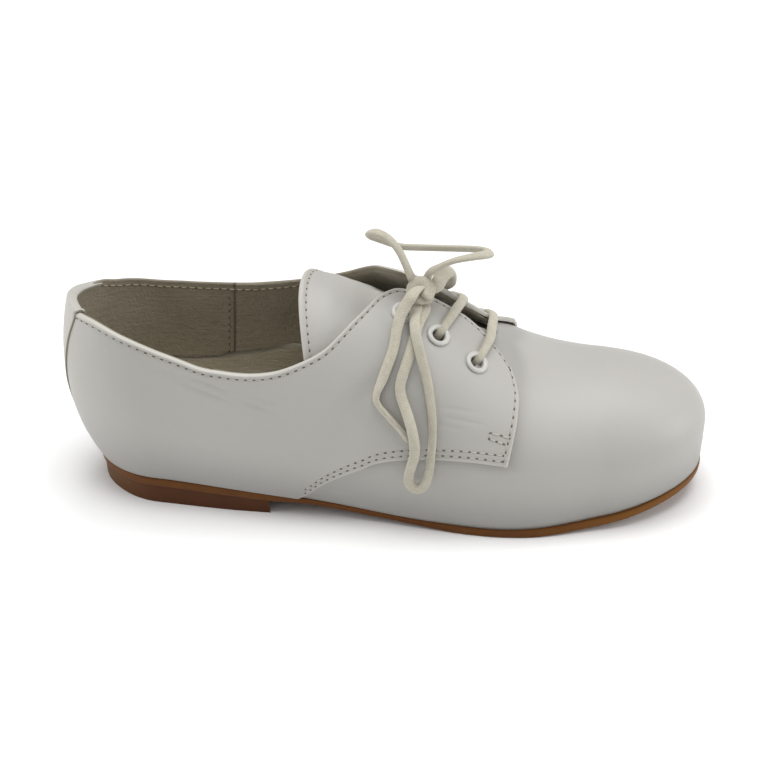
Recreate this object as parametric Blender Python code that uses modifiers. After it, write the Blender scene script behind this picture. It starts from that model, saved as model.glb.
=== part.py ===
"""Right-foot child's lace-up derby shoe, built as separate named solids in metres."""
import math

import bmesh
import bpy
from mathutils import Vector
import numpy as np

MM = 0.001
COLLECTION_NAME = "lace_up_shoe"
CUTTER_NAME = "lace_up_shoe_cutters"

# Driving sizes, millimetres. X runs to the toe, -Y is the outer side of the foot.
HEEL_CENTRE_X = 24.0
TOE_CENTRE_X = 168.0
TOE_CENTRE_Y = 2.0
HEEL_ARC = 38.0
TOE_ARC = 51.0
TOE_SLOPE = -0.10
FULLNESS = 2.15
LOWER_SHARE = 0.3
FIT_GAP = 0.3
VAMP_WALL = 1.6
QUARTER_RAISE = 1.2
QUARTER_WALL = 2.1
INSOLE_THICK = 1.8
OUTER, INNER = -1, 1


def along_at(x):
    """Rib position of a section at shoe length x between the two end fans."""
    return HEEL_ARC + x - HEEL_CENTRE_X


def x_at(along):
    """Shoe length of a rib position between the two end fans."""
    return along - HEEL_ARC + HEEL_CENTRE_X


def table(names, *rows):
    """Columns of a short table by name; the first column is its key."""
    return dict(zip(names.split(), zip(*rows)))


TOE_START = along_at(TOE_CENTRE_X)
TIP = TOE_START + TOE_ARC

# Ribs of the last: plan reach and height of the feather line, of the bulge and of the ridge.
SECTIONS = table(
    "name along feather_out feather_in bulge_out bulge_in feather_z bulge_z ridge_z",
    ("heel_back", 0.0, 21.8, 21.8, 29.2, 29.2, 10.1, 39.0, 92.0),
    ("heel_corner", HEEL_ARC / 2, 20.4, 20.8, 27.0, 26.8, 10.1, 36.0, 101.0),
    ("heel_side", HEEL_ARC, 21.4, 21.4, 25.7, 25.4, 10.1, 31.0, 104.0),
    ("counter", along_at(50), 25.0, 22.6, 28.1, 26.5, 9.1, 27.0, 88.0),
    ("waist", along_at(80), 27.8, 21.4, 31.2, 27.2, 6.4, 24.0, 74.5),
    ("instep", along_at(106), 32.0, 26.5, 34.0, 30.7, 3.9, 22.0, 68.6),
    ("throat", along_at(121), 34.4, 30.6, 36.0, 33.6, 3.1, 20.8, 60.6),
    ("ball", along_at(136), 36.0, 33.4, 37.0, 35.4, 2.9, 19.8, 50.9),
    ("vamp", along_at(151), 34.6, 33.8, 36.0, 35.4, 3.5, 19.0, 44.8),
    ("toe_side", TOE_START, 30.2, 30.8, 32.0, 32.2, 5.2, 18.5, 43.2),
    ("toe_corner", TOE_START + TOE_ARC / 2, 29.2, 30.8, 31.6, 32.4, 8.6, 23.0, 43.2),
    ("toe_tip", TIP, 33.2, 33.2, 33.4, 33.4, 10.6, 25.0, 43.2),
)
# Lean of the instep to the inner side, full at the ridge.
LEAN = table(
    "along shift",
    (along_at(55), 0.0), (along_at(75), 2.0), (along_at(92), 4.0), (along_at(105), 4.4), (along_at(118), 3.8),
    (along_at(135), 1.8), (along_at(151), 0.6), (TOE_START, 0.0))

# Top edge of each quarter: share of the rib from feather line to ridge.
COLLAR = table(
    "along rise_out rise_in",
    (0.0, 0.512, 0.512),
    (5.0, 0.518, 0.498),
    (10.0, 0.513, 0.481),
    (14.0, 0.503, 0.470),
    (21.0, 0.497, 0.450),
    (32.4, 0.479, 0.443),
    (44.5, 0.466, 0.459),
    (54.0, 0.465, 0.481),
    (63.8, 0.480, 0.513),
    (71.2, 0.498, 0.546),
    (78.6, 0.526, 0.584),
    (86.1, 0.571, 0.628),
    (93.6, 0.631, 0.682),
    (97.9, 0.686, 0.718),
    (101.6, 0.742, 0.760),
    (105.6, 0.804, 0.815),
    (109.2, 0.869, 0.876),
    (111.8, 0.901, 0.912),
    (114.4, 0.925, 0.940),
    (117.4, 0.935, 0.957),
    (126.6, 0.949, 0.968),
    (135.4, 0.951, 0.964),
    (139.5, 0.940, 0.940),
    (143.0, 0.916, 0.906),
    (147.2, 0.876, 0.868),
    (151.0, 0.826, 0.820),
    (155.0, 0.800, 0.796),
)
# Lower edge of each quarter: on the feather line, then rising over the vamp.
SEAM = table(
    "x rise",
    (71.0, 0.000),
    (74.3, 0.055),
    (78.4, 0.133),
    (84.0, 0.210),
    (90.0, 0.275),
    (93.6, 0.305),
    (97.7, 0.322),
    (104.5, 0.340),
    (117.8, 0.369),
    (127.9, 0.386),
    (137.0, 0.394),
    (141.0, 0.396),
)
# Front edge of each quarter from its lower corner to the throat.
FRONT = table(
    "height x",
    (0.0, 137.0), (0.28, 138.5), (0.52, 139.5), (0.72, 139.8), (0.89, 138.7), (1.0, 137.0))
# Spacing of the quarters' ribs, close round the heel and where the collar climbs.
QUARTER_RUN = table("share run", (0.0, 0.0), (0.26, 0.245), (0.42, 0.52), (0.77, 0.755), (1.0, 1.0))
QUARTER_GRID = (31, 9)
# Hidden rear edge of the vamp under the quarters.
VAMP_REAR = table(
    "x rise",
    (68.0, 0.20), (80.0, 0.33), (95.0, 0.44), (110.0, 0.50), (118.0, 0.58), (124.0, 0.70), (129.0, 0.85),
    (132.5, 1.0))
# Spacing of the vamp's ribs, close where its rear edge climbs to the ridge.
VAMP_RUN = table("share along", (0.0, along_at(68)), (0.26, along_at(116)), (0.52, along_at(134)), (1.0, TIP))
VAMP_GRID = (37, 12)
# Tongue: side edge, depth under the upper's base surface and sag of its middle.
TONGUE = table(
    "x edge_rise depth sag",
    (72.0, 0.535, 1.35, 2.1), (80.0, 0.565, 1.4, 2.3), (87.0, 0.59, 1.4, 3.8), (96.0, 0.625, 1.4, 6.0),
    (105.0, 0.66, 1.4, 6.0), (115.0, 0.70, 1.7, 4.5), (123.0, 0.74, 2.2, 2.5), (135.0, 0.78, 2.25, 0.6),
    (142.0, 0.80, 2.25, 0.0))
TONGUE_REAR_CURVE = 2.2
TONGUE_GRID = (15, 13)
TONGUE_WALL = 1.3
# Sole edge beyond the feather line and its thickness.
SOLE_EDGE = table(
    "along beyond thick",
    (0.0, 1.7, 3.0), (HEEL_ARC, 1.7, 3.0), (along_at(60), 1.2, 2.9), (along_at(76), 0.3, 2.3),
    (along_at(102), 0.2, 2.3), (along_at(125), 0.9, 2.8), (TOE_START, 1.2, 3.0),
    (TOE_START + TOE_ARC / 2, 0.7, 3.0), (TIP, 0.2, 2.6))
SOLE_RIBS = 57
SOLE_BEVEL = 0.5
INSOLE_RIBS = 35
BREAST_X = 61.3
BREAST_HOLLOW = 5.0
HEEL_INSET = 0.7
HEEL_TAPER = 0.4
HEEL_RIBS = 23
HEEL_ACROSS = 7
HEEL_BEVEL = 0.4
# Eyelets of one side: rib and rise; the inner row sits a little further forward.
EYELETS = table("x rise", (103.1, 0.819), (114.1, 0.786), (126.0, 0.763))
EYELET_ROWS = len(EYELETS["x"])
EYELET_INNER_SHIFT = 3.0
EYELET_HOLE_RADIUS = 2.75
EYELET_PROFILE = table(
    "radius height",
    (2.0, -1.9), (2.4, -1.9), (2.4, 0.0), (3.7, 0.0), (3.85, 0.35), (3.5, 0.75), (2.9, 0.95), (2.3, 0.75),
    (2.0, 0.3))
EYELET_STEPS = 12
# Backstay strip: half width up the heel back, then its fold over the collar edge.
BACKSTAY = table(
    "rise half_along",
    (0.03, 5.0), (0.15, 5.5), (0.25, 6.3), (0.31, 7.2), (0.36, 8.6), (0.42, 10.8), (0.47, 13.0), (0.512, 14.8))
BACKSTAY_WALL = 1.0
BACKSTAY_LIFT = QUARTER_RAISE + FIT_GAP + BACKSTAY_WALL
BACKSTAY_FOLD = table(
    "past_edge lift up",
    (0.0, 2.35, 0.95), (0.0, 1.2, 1.45), (0.0, -0.9, 1.45), (0.0, -2.1, 0.95), (0.0, -2.25, 0.0),
    (-0.018, -2.25, 0.0))
BACKSTAY_CLIMB = 10
BACKSTAY_ACROSS = 9
EYELET_LIFT = 0.2
EYELET_HOLE_REACH = 4.0
LACE_RADIUS = 1.15
BAR_END_LIFT = 3.85
BAR_RIDGE_LIFT = 3.0
BAR_FORWARD = 5.0
BAR_POINTS = 13
BAR_ROWS = (1, 2)
CORD_STEP = 5.5
CURVE_STEPS = 12
# Hand-chosen lace routes, millimetres before the shoe is centred.
CORD_ROUTES = {
    "lace_end_near": (
        (107.8, -7.8, 73.9), (106.1, -12.9, 73.8), (104.9, -13.2, 71.8), (103.4, -14.7, 69.5), (102.3, -17.0, 66.9),
        (101.0, -22.9, 60.4), (99.6, -25.7, 56.7), (98.0, -28.1, 52.8), (96.4, -29.7, 49.4), (96.0, -30.4, 47.4),
        (96.9, -31.2, 45.5), (103.8, -33.5, 38.4), (105.6, -34.1, 36.0)),
    "lace_loop_hanging": (
        (107.9, -11.4, 69.4), (107.4, -14.9, 69.2), (107.2, -17.2, 67.5), (107.7, -20.6, 64.9), (108.9, -23.4, 61.0),
        (111.5, -27.4, 52.9), (113.2, -31.7, 44.8), (113.6, -33.4, 40.6), (113.7, -34.8, 36.0), (113.4, -35.9, 30.9),
        (112.9, -36.6, 26.1), (111.9, -36.8, 21.3), (109.7, -36.6, 18.5), (107.4, -36.5, 19.7), (106.6, -36.9, 23.1),
        (108.3, -37.5, 31.4), (108.4, -37.4, 35.3), (107.7, -36.4, 39.4), (106.5, -34.4, 42.7), (105.2, -32.1, 45.5),
        (103.9, -30.4, 48.2), (103.3, -29.1, 50.8), (103.9, -27.6, 53.4), (104.8, -25.9, 55.9), (105.9, -23.5, 58.8),
        (106.8, -20.7, 61.4), (107.7, -17.2, 64.0), (108.9, -13.2, 66.1), (110.4, -9.3, 67.5)),
    "lace_loop_upper": (
        (105.3, -4.3, 76.1), (104.9, -6.6, 78.7), (102.5, -6.8, 84.7), (101.0, -7.0, 87.4), (98.9, -7.1, 90.0),
        (96.5, -7.3, 91.6), (94.5, -7.5, 92.5), (92.8, -4.0, 90.2), (93.2, -1.6, 87.8), (95.1, -0.4, 86.6),
        (101.5, 0.3, 84.0), (103.6, 0.4, 83.7), (123.4, 0.5, 83.6), (127.7, -1.4, 84.2), (129.8, -3.3, 84.5),
        (128.8, -5.1, 84.6), (125.9, -7.0, 85.0), (119.8, -6.5, 83.3), (116.8, -6.2, 82.0), (112.3, -5.7, 79.1),
        (110.7, -3.1, 75.9)),
    "lace_end_far": (
        (113.6, -4.8, 73.2), (113.9, -2.0, 73.5), (115.2, 0.7, 74.4), (116.5, 3.5, 74.4), (117.4, 6.1, 72.4),
        (117.4, 8.1, 69.5), (117.1, 11.0, 66.2), (113.7, 14.5, 66.5), (110.3, 16.5, 67.3), (108.1, 19.0, 68.6)),
}
KNOT_CENTRE = (108.53, -6.47, 72.03)
KNOT_AXIS = (0.08, -0.66, 0.75)
KNOT_START = 200.0
KNOT_RADIUS = 3.0
KNOT_TURNS = 1.6
KNOT_PITCH = 2.6
KNOT_POINTS = 19
WELD_DISTANCE = 0.00002


def hermite(columns, key, name):
    """Monotone cubic through one named column, constant beyond its ends."""
    xs = list(columns.values())[0]
    ys = columns[name]
    if key <= xs[0]:
        return ys[0]
    if key >= xs[-1]:
        return ys[-1]
    steps = [(ys[i + 1] - ys[i]) / (xs[i + 1] - xs[i]) for i in range(len(xs) - 1)]
    slopes = [steps[0]]
    for before, after in zip(steps[:-1], steps[1:]):
        slopes.append(0.0 if before * after <= 0 else 2 * before * after / (before + after))
    slopes.append(steps[-1])
    i = max(k for k in range(len(xs) - 1) if xs[k] <= key)
    width = xs[i + 1] - xs[i]
    t = (key - xs[i]) / width
    lead = ys[i] * (1 + 2 * t) * (1 - t) ** 2 + ys[i + 1] * t * t * (3 - 2 * t)
    return lead + width * (slopes[i] * t * (1 - t) ** 2 - slopes[i + 1] * t * t * (1 - t))


def closed_spline(knots, values, period):
    """Periodic cubic spline round the foot's outline."""
    count = len(knots)
    spans = np.diff(np.append(knots, knots[0] + period))
    matrix = np.zeros((count, count))
    bends = np.zeros(count)
    for i in range(count):
        before, after, following = spans[i - 1], spans[i], (i + 1) % count
        matrix[i, i - 1] += before / 6
        matrix[i, i] += (before + after) / 3
        matrix[i, following] += after / 6
        bends[i] = (values[following] - values[i]) / after - (values[i] - values[i - 1]) / before
    curve = np.linalg.solve(matrix, bends)

    def at(key):
        key = key % period
        i = int(np.searchsorted(knots, key, side="right")) - 1
        j = (i + 1) % count
        b = (key - knots[i]) / spans[i]
        a = 1 - b
        bow = ((a ** 3 - a) * curve[i] + (b ** 3 - b) * curve[j]) * spans[i] ** 2 / 6
        return float(a * values[i] + b * values[j] + bow)

    return at


def outline_column(outer_name, inner_name):
    """One section column as a smooth function round the outline, outer side first."""
    knots = [*SECTIONS["along"], *(2 * TIP - along for along in SECTIONS["along"][-2:0:-1])]
    values = [*SECTIONS[outer_name], *SECTIONS[inner_name][-2:0:-1]]
    spline = closed_spline(np.array(knots), np.array(values), 2 * TIP)
    return lambda along, side: spline(along if side == OUTER else 2 * TIP - along)


feather_radius = outline_column("feather_out", "feather_in")
bulge_radius = outline_column("bulge_out", "bulge_in")
feather_height = outline_column("feather_z", "feather_z")
bulge_height = outline_column("bulge_z", "bulge_z")
ridge_height = outline_column("ridge_z", "ridge_z")


def rib(along, side):
    """Plan origin and outward direction of one rib."""
    if along < HEEL_ARC:
        x = HEEL_CENTRE_X
        angle = math.pi - along / HEEL_ARC * math.pi / 2
    elif along > TOE_START:
        x = TOE_CENTRE_X
        angle = math.pi / 2 - (along - TOE_START) / TOE_ARC * math.pi / 2
    else:
        x = HEEL_CENTRE_X + along - HEEL_ARC
        angle = math.pi / 2
    share = (x - HEEL_CENTRE_X) / (TOE_CENTRE_X - HEEL_CENTRE_X)
    y = TOE_CENTRE_Y * share * share * (3 - 2 * share)
    return Vector((x, y, 0)), Vector((math.cos(angle), side * math.sin(angle), 0))


def plan_point(along, side, radius, z):
    origin, out = rib(along, side)
    return origin + out * radius + Vector((0, 0, z))


def base_point(along, side, rise):
    """Point on the last: rise 0 is the feather line, 1 the ridge."""
    feather, bulge = feather_radius(along, side), bulge_radius(along, side)
    low, middle = feather_height(along, side), bulge_height(along, side)
    top = ridge_height(min(along, TOE_START), side)
    bend = min(max((rise - LOWER_SHARE) / (1 - LOWER_SHARE), 0.0), 1.0)
    if rise < LOWER_SHARE:
        share = rise / LOWER_SHARE
        radius = feather + (bulge - feather) * (1 - (1 - share) ** 2)
        z = low + (middle - low) * share
    else:
        turn = bend * math.pi / 2
        radius = bulge * max(math.cos(turn), 0.0) ** (2 / FULLNESS)
        z = middle + (top - middle) * math.sin(turn) ** (2 / FULLNESS)
    point = plan_point(along, side, radius, z)
    if along > TOE_START:
        point.z += TOE_SLOPE * (point.x - TOE_CENTRE_X) * (1 - min(radius / bulge, 1.0) ** 2)
    point.y += hermite(LEAN, along, "shift") * bend * bend
    return point


def past_ends(along, side, rise):
    """Base point that runs on round the heel back and the toe tip."""
    if along < 0:
        return base_point(-along, -side, rise)
    if along > TIP:
        return base_point(2 * TIP - along, -side, rise)
    return base_point(along, side, rise)


def skin_normal(along, side, rise):
    step, lift = 0.1, 0.004
    if rise > 0.995:
        if along > TOE_START:
            return Vector((-TOE_SLOPE, 0, 1)).normalized()
        ahead = base_point(along + step, side, 1) - base_point(along - step, side, 1)
        across = base_point(along, INNER, 0.98) - base_point(along, OUTER, 0.98)
        return ahead.cross(across).normalized()
    ahead = past_ends(along + step, side, rise) - past_ends(along - step, side, rise)
    up = base_point(along, side, min(rise + lift, 1)) - base_point(along, side, max(rise - lift, 0))
    return (ahead.cross(up) * -side).normalized()


def skin(along, side, rise, lift):
    """Last surface moved outward by lift, its lower edge kept level."""
    point = base_point(along, side, rise) + skin_normal(along, side, rise) * lift
    if rise == 0:
        point.z = feather_height(along, side)
    return point


for old in list(bpy.data.objects):
    bpy.data.objects.remove(old, do_unlink=True)
shoe_collection = bpy.data.collections.new(COLLECTION_NAME)
cutter_collection = bpy.data.collections.new(CUTTER_NAME)
for collection in (shoe_collection, cutter_collection):
    bpy.context.scene.collection.children.link(collection)


def material(name, colour, roughness, metallic=0.0):
    made = bpy.data.materials.new(name)
    made.use_nodes = True
    shader = made.node_tree.nodes["Principled BSDF"]
    shader.inputs["Base Color"].default_value = (*colour, 1)
    shader.inputs["Roughness"].default_value = roughness
    shader.inputs["Metallic"].default_value = metallic
    return made


WHITE_LEATHER = ((0.62, 0.61, 0.58), 0.5)
TAN_SOLE = ((0.22, 0.10, 0.035), 0.55)
BROWN_HEEL = ((0.09, 0.04, 0.018), 0.5)
TAUPE_SOCK = ((0.24, 0.22, 0.17), 0.75)
WHITE_ENAMEL = ((0.7, 0.69, 0.66), 0.3)
CREAM_COTTON = ((0.62, 0.58, 0.47), 0.85)


def add_object(name, data, finish=None, cutter=False):
    made = bpy.data.objects.new(name, data)
    (cutter_collection if cutter else shoe_collection).objects.link(made)
    if cutter:
        made.hide_render = True
        made.display_type = "WIRE"
    else:
        data.materials.append(material(name, *finish))
    return made


def mesh_from(name, points, faces):
    """Mesh of millimetre points with doubled and empty edges welded."""
    data = bpy.data.meshes.new(name)
    data.from_pydata([tuple(point * MM) for point in points], [], faces)
    work = bmesh.new()
    work.from_mesh(data)
    bmesh.ops.remove_doubles(work, verts=work.verts, dist=WELD_DISTANCE)
    bmesh.ops.dissolve_degenerate(work, edges=work.edges, dist=WELD_DISTANCE / 2)
    work.to_mesh(data)
    work.free()
    return data


def grid_faces(rows, columns, start=0, flip=False):
    faces = []
    for i in range(rows - 1):
        for j in range(columns - 1):
            corner = start + i * columns + j
            face = (corner, corner + columns, corner + columns + 1, corner + 1)
            faces.append(tuple(reversed(face)) if flip else face)
    return faces


def two_sided_sheet(name, point_at, rows, columns):
    """Outward sheet of both halves; point_at(side, i share, j share) gives millimetres."""
    points, faces = [], []
    for side in (OUTER, INNER):
        faces += grid_faces(rows, columns, len(points), side == INNER)
        for i in range(rows):
            for j in range(columns):
                points.append(point_at(side, i / (rows - 1), j / (columns - 1)))
    return mesh_from(name, points, faces)


def slab(name, top, bottom):
    """Closed solid between two grids with the same rows and columns."""
    rows, columns = len(top), len(top[0])
    points = [p for row in top for p in row] + [p for row in bottom for p in row]
    under = rows * columns
    faces = grid_faces(rows, columns) + grid_faces(rows, columns, under, True)
    rim = [j for j in range(columns)]
    rim += [i * columns + columns - 1 for i in range(1, rows)]
    rim += [(rows - 1) * columns + j for j in range(columns - 2, -1, -1)]
    rim += [i * columns for i in range(rows - 2, 0, -1)]
    for a, b in zip(rim, rim[1:] + rim[:1]):
        faces.append((a, b, b + under, a + under))
    return mesh_from(name, points, faces)


def solidify(target, wall):
    modifier = target.modifiers.new("wall", "SOLIDIFY")
    modifier.thickness = wall * MM
    modifier.offset = -1


def bevel(target, width, segments=1, angle=40):
    modifier = target.modifiers.new("edge", "BEVEL")
    modifier.width = width * MM
    modifier.segments = segments
    modifier.limit_method = "ANGLE"
    modifier.angle_limit = math.radians(angle)


def boolean(target, other, operation):
    modifier = target.modifiers.new(operation.lower(), "BOOLEAN")
    modifier.operation = operation
    modifier.solver = "EXACT"
    modifier.object = other


# Vamp: from its hidden rear edge round the toe.
def vamp_point(side, run, height):
    along = float(np.interp(run, VAMP_RUN["share"], VAMP_RUN["along"]))
    top = hermite(VAMP_REAR, x_at(along), "rise")
    return skin(along, side, height * top, 0.0)


def collar_rise(along, side):
    return hermite(COLLAR, along, "rise_out" if side == OUTER else "rise_in")


# Quarters: both sides meet at the heel back.
def quarter_place(side, run, height):
    reach = float(np.interp(run, QUARTER_RUN["share"], QUARTER_RUN["run"]))
    along = reach * along_at(hermite(FRONT, height, "x"))
    top = collar_rise(along, side)
    low = hermite(SEAM, x_at(along), "rise")
    return along, low + (top - low) * height


def quarter_point(side, run, height):
    along, rise = quarter_place(side, run, height)
    return skin(along, side, rise, QUARTER_RAISE)


upper = add_object("upper", two_sided_sheet("upper", vamp_point, *VAMP_GRID), WHITE_LEATHER)
solidify(upper, VAMP_WALL)
quarters_sheet = two_sided_sheet("quarters", quarter_point, *QUARTER_GRID)
quarters = add_object("quarters", quarters_sheet, cutter=True)
solidify(quarters, QUARTER_WALL)
boolean(upper, quarters, "UNION")


# Eyelets: turned rings on the facings, each in its own hole.
def eyelet_seat(side, row):
    x, rise = EYELETS["x"][row], EYELETS["rise"][row]
    along = along_at(x + (EYELET_INNER_SHIFT if side == INNER else 0.0))
    spin = skin_normal(along, side, rise).to_track_quat("Z", "Y")
    return skin(along, side, rise, QUARTER_RAISE), spin


def eyelet_mesh(name):
    points = [Vector((radius, 0, z)) for radius, z in zip(*EYELET_PROFILE.values())]
    data = bpy.data.meshes.new(name)
    edges = [(i, (i + 1) % len(points)) for i in range(len(points))]
    data.from_pydata([tuple(point * MM) for point in points], edges, [])
    return data


hole_points, hole_faces = [], []
for side, side_name in ((OUTER, "outer"), (INNER, "inner")):
    for row in range(EYELET_ROWS):
        centre, spin = eyelet_seat(side, row)
        name = f"eyelet_{side_name}_{row + 1}"
        ring = add_object(name, eyelet_mesh(name), WHITE_ENAMEL)
        ring.location = (centre + spin @ Vector((0, 0, EYELET_LIFT))) * MM
        ring.rotation_mode = "QUATERNION"
        ring.rotation_quaternion = spin
        turn = ring.modifiers.new("turn", "SCREW")
        turn.steps = turn.render_steps = EYELET_STEPS
        turn.use_merge_vertices = True
        turn.merge_threshold = WELD_DISTANCE
        turn.use_normal_calculate = True
        first = len(hole_points)
        for level in (-EYELET_HOLE_REACH, EYELET_HOLE_REACH):
            for k in range(EYELET_STEPS):
                angle = 2 * math.pi * k / EYELET_STEPS
                local = Vector((math.cos(angle), math.sin(angle), 0)) * EYELET_HOLE_RADIUS
                hole_points.append(centre + spin @ (local + Vector((0, 0, level))))
        hole_faces.append(tuple(first + k for k in reversed(range(EYELET_STEPS))))
        hole_faces.append(tuple(first + EYELET_STEPS + k for k in range(EYELET_STEPS)))
        for k in range(EYELET_STEPS):
            after = (k + 1) % EYELET_STEPS
            above = first + EYELET_STEPS
            hole_faces.append((first + k, first + after, above + after, above + k))
holes = add_object("eyelet_holes", mesh_from("eyelet_holes", hole_points, hole_faces), cutter=True)
boolean(upper, holes, "DIFFERENCE")


# Backstay: strip up the heel, over the collar and a little way down inside.
def backstay_sheet(columns):
    points = []
    bottom, top = BACKSTAY["rise"][0], COLLAR["rise_out"][0]
    shares = [i / (BACKSTAY_CLIMB - 1) for i in range(BACKSTAY_CLIMB)]
    climb = [(bottom + (top - bottom) * share, BACKSTAY_LIFT, 0.0) for share in shares]
    fold = [(top + past, lift, up) for past, lift, up in zip(*BACKSTAY_FOLD.values())]
    for rise, lift, up in climb + fold:
        half = hermite(BACKSTAY, rise, "half_along")
        share = min(max((rise - LOWER_SHARE) / (top - LOWER_SHARE), 0.0), 1.0)
        for j in range(columns):
            across = 1 - 2 * j / (columns - 1)
            side = INNER if across > 0 else OUTER
            along = abs(across) * half
            edge = collar_rise(along, side) - top
            points.append(skin(along, side, rise + edge * share, lift) + Vector((0, 0, up)))
    return mesh_from("backstay", points, grid_faces(len(climb + fold), columns, flip=True))


backstay = add_object("backstay", backstay_sheet(BACKSTAY_ACROSS), WHITE_LEATHER)
solidify(backstay, BACKSTAY_WALL)


# Tongue: arched sheet under the facings and the vamp's rear edge.
def tongue_sheet(rows, columns):
    points = []
    first, last = TONGUE["x"][0], TONGUE["x"][-1]
    for i in range(rows):
        share = i / (rows - 1)
        for j in range(columns):
            across = 2 * j / (columns - 1) - 1
            curve = min(((across + 0.35) / 0.65) ** 2, 1.8)
            x = first + (last - first) * share + TONGUE_REAR_CURVE * curve * (1 - share) ** 2
            rise = 1 - abs(across) * (1 - hermite(TONGUE, x, "edge_rise"))
            drop = hermite(TONGUE, x, "depth") + hermite(TONGUE, x, "sag") * (1 - across * across)
            points.append(skin(along_at(x), INNER if across > 0 else OUTER, rise, -drop))
    return mesh_from("tongue", points, grid_faces(rows, columns))


tongue = add_object("tongue", tongue_sheet(*TONGUE_GRID), WHITE_LEATHER)
solidify(tongue, TONGUE_WALL)


# Sole parts: rows of rib pairs from heel back to toe tip.
def rib_rows(stations, radius_at, z_at, columns=2):
    rows = []
    for along in stations:
        outer = plan_point(along, OUTER, radius_at(along, OUTER), z_at(along))
        inner = plan_point(along, INNER, radius_at(along, INNER), z_at(along))
        rows.append([outer.lerp(inner, j / (columns - 1)) for j in range(columns)])
    return rows


def sole_top(along):
    return feather_height(along, OUTER) - FIT_GAP


def sole_bottom(along):
    return max(sole_top(along) - hermite(SOLE_EDGE, along, "thick"), 0.0)


def sole_radius(along, side):
    return feather_radius(along, side) + hermite(SOLE_EDGE, along, "beyond")


def even_stations(last, count):
    return [last * i / (count - 1) for i in range(count)]


stations = even_stations(TIP, SOLE_RIBS)
outsole = add_object("outsole", slab("outsole", rib_rows(stations, sole_radius, sole_top),
                                     rib_rows(stations, sole_radius, sole_bottom)), TAN_SOLE)
bevel(outsole, SOLE_BEVEL)

heel_stations = even_stations(along_at(BREAST_X), HEEL_RIBS)


def heel_rows(inset, z_at):
    rows = rib_rows(heel_stations, lambda along, side: sole_radius(along, side) - inset, z_at, HEEL_ACROSS)
    for along, row in zip(heel_stations, rows):
        share = max(0.0, (along - HEEL_ARC) / (heel_stations[-1] - HEEL_ARC))
        for j, point in enumerate(row):
            across = 2 * j / (HEEL_ACROSS - 1) - 1
            point.x -= BREAST_HOLLOW * share * (1 - across * across)
    return rows


heel = add_object("heel", slab("heel", heel_rows(HEEL_INSET, lambda along: sole_bottom(along) - FIT_GAP),
                               heel_rows(HEEL_INSET + HEEL_TAPER, lambda along: 0.0)), BROWN_HEEL)
bevel(heel, HEEL_BEVEL)


def insole_radius(along, side):
    return feather_radius(along, side) - VAMP_WALL - 2 * FIT_GAP


insole_stations = even_stations(TIP, INSOLE_RIBS)
insole = add_object("insole", slab(
    "insole", rib_rows(insole_stations, insole_radius, lambda a: sole_top(a) + FIT_GAP + INSOLE_THICK),
    rib_rows(insole_stations, insole_radius, lambda a: sole_top(a) + FIT_GAP)), TAUPE_SOCK)


# Lace: bars over the front two eyelet pairs, then the free cords.
def smooth_route(route, step):
    """Even points on a smooth curve through the route points."""
    knots = [Vector(point) for point in route]
    padded = [knots[0] * 2 - knots[1]] + knots + [knots[-1] * 2 - knots[-2]]
    fine = []
    for a, b, c, d in zip(padded, padded[1:], padded[2:], padded[3:]):
        for k in range(CURVE_STEPS):
            t = k / CURVE_STEPS
            fine.append(0.5 * (2 * b + (c - a) * t + (2 * a - 5 * b + 4 * c - d) * t ** 2
                               + (3 * b - a - 3 * c + d) * t ** 3))
    fine.append(knots[-1])
    lengths = np.cumsum([0.0] + [(q - p).length for p, q in zip(fine, fine[1:])])
    count = max(3, round(lengths[-1] / step))
    marks = np.linspace(0, lengths[-1], count + 1)
    axes = [np.interp(marks, lengths, [point[axis] for point in fine]) for axis in range(3)]
    return [Vector(point) for point in zip(*axes)]


def tube(name, points):
    """Round cord along millimetre points."""
    data = bpy.data.curves.new(name, "CURVE")
    data.dimensions = "3D"
    data.bevel_depth = LACE_RADIUS * MM
    data.bevel_resolution = 2
    data.use_fill_caps = True
    spline = data.splines.new("POLY")
    spline.points.add(len(points) - 1)
    for slot, point in zip(spline.points, points):
        slot.co = (*(point * MM), 1)
    return add_object(name, data, CREAM_COTTON)


def bar_points(row):
    """Bar from the outer eyelet of a row to the inner one, over the ridge."""
    points = []
    first_x, end_rise = EYELETS["x"][row], EYELETS["rise"][row]
    for i in range(BAR_POINTS):
        share = i / (BAR_POINTS - 1)
        side = OUTER if share < 0.5 else INNER
        climb = math.sin(math.pi * share)
        x = first_x + EYELET_INNER_SHIFT * share + BAR_FORWARD * climb
        rise = end_rise + (1 - end_rise) * (1 - abs(2 * share - 1))
        lift = BAR_END_LIFT + (BAR_RIDGE_LIFT - BAR_END_LIFT) * climb
        points.append(skin(along_at(x), side, rise, lift))
    return points


for row in BAR_ROWS:
    tube(f"lace_bar_{row + 1}", bar_points(row))
for name, route in CORD_ROUTES.items():
    tube(name, smooth_route(route, CORD_STEP))


def knot_route():
    """Turns of the knot round an axis that points up and to the outer side."""
    route = []
    axis = Vector(KNOT_AXIS).normalized()
    across = Vector((0, 0, 1)).cross(axis).normalized()
    upward = axis.cross(across)
    for k in range(KNOT_POINTS):
        share = k / (KNOT_POINTS - 1)
        angle = math.radians(KNOT_START) + 2 * math.pi * KNOT_TURNS * share
        turn = across * math.cos(angle) + upward * math.sin(angle)
        route.append(Vector(KNOT_CENTRE) + turn * KNOT_RADIUS + axis * (KNOT_PITCH * KNOT_TURNS * (share - 0.5)))
    return route


tube("lace_knot", knot_route())

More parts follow.
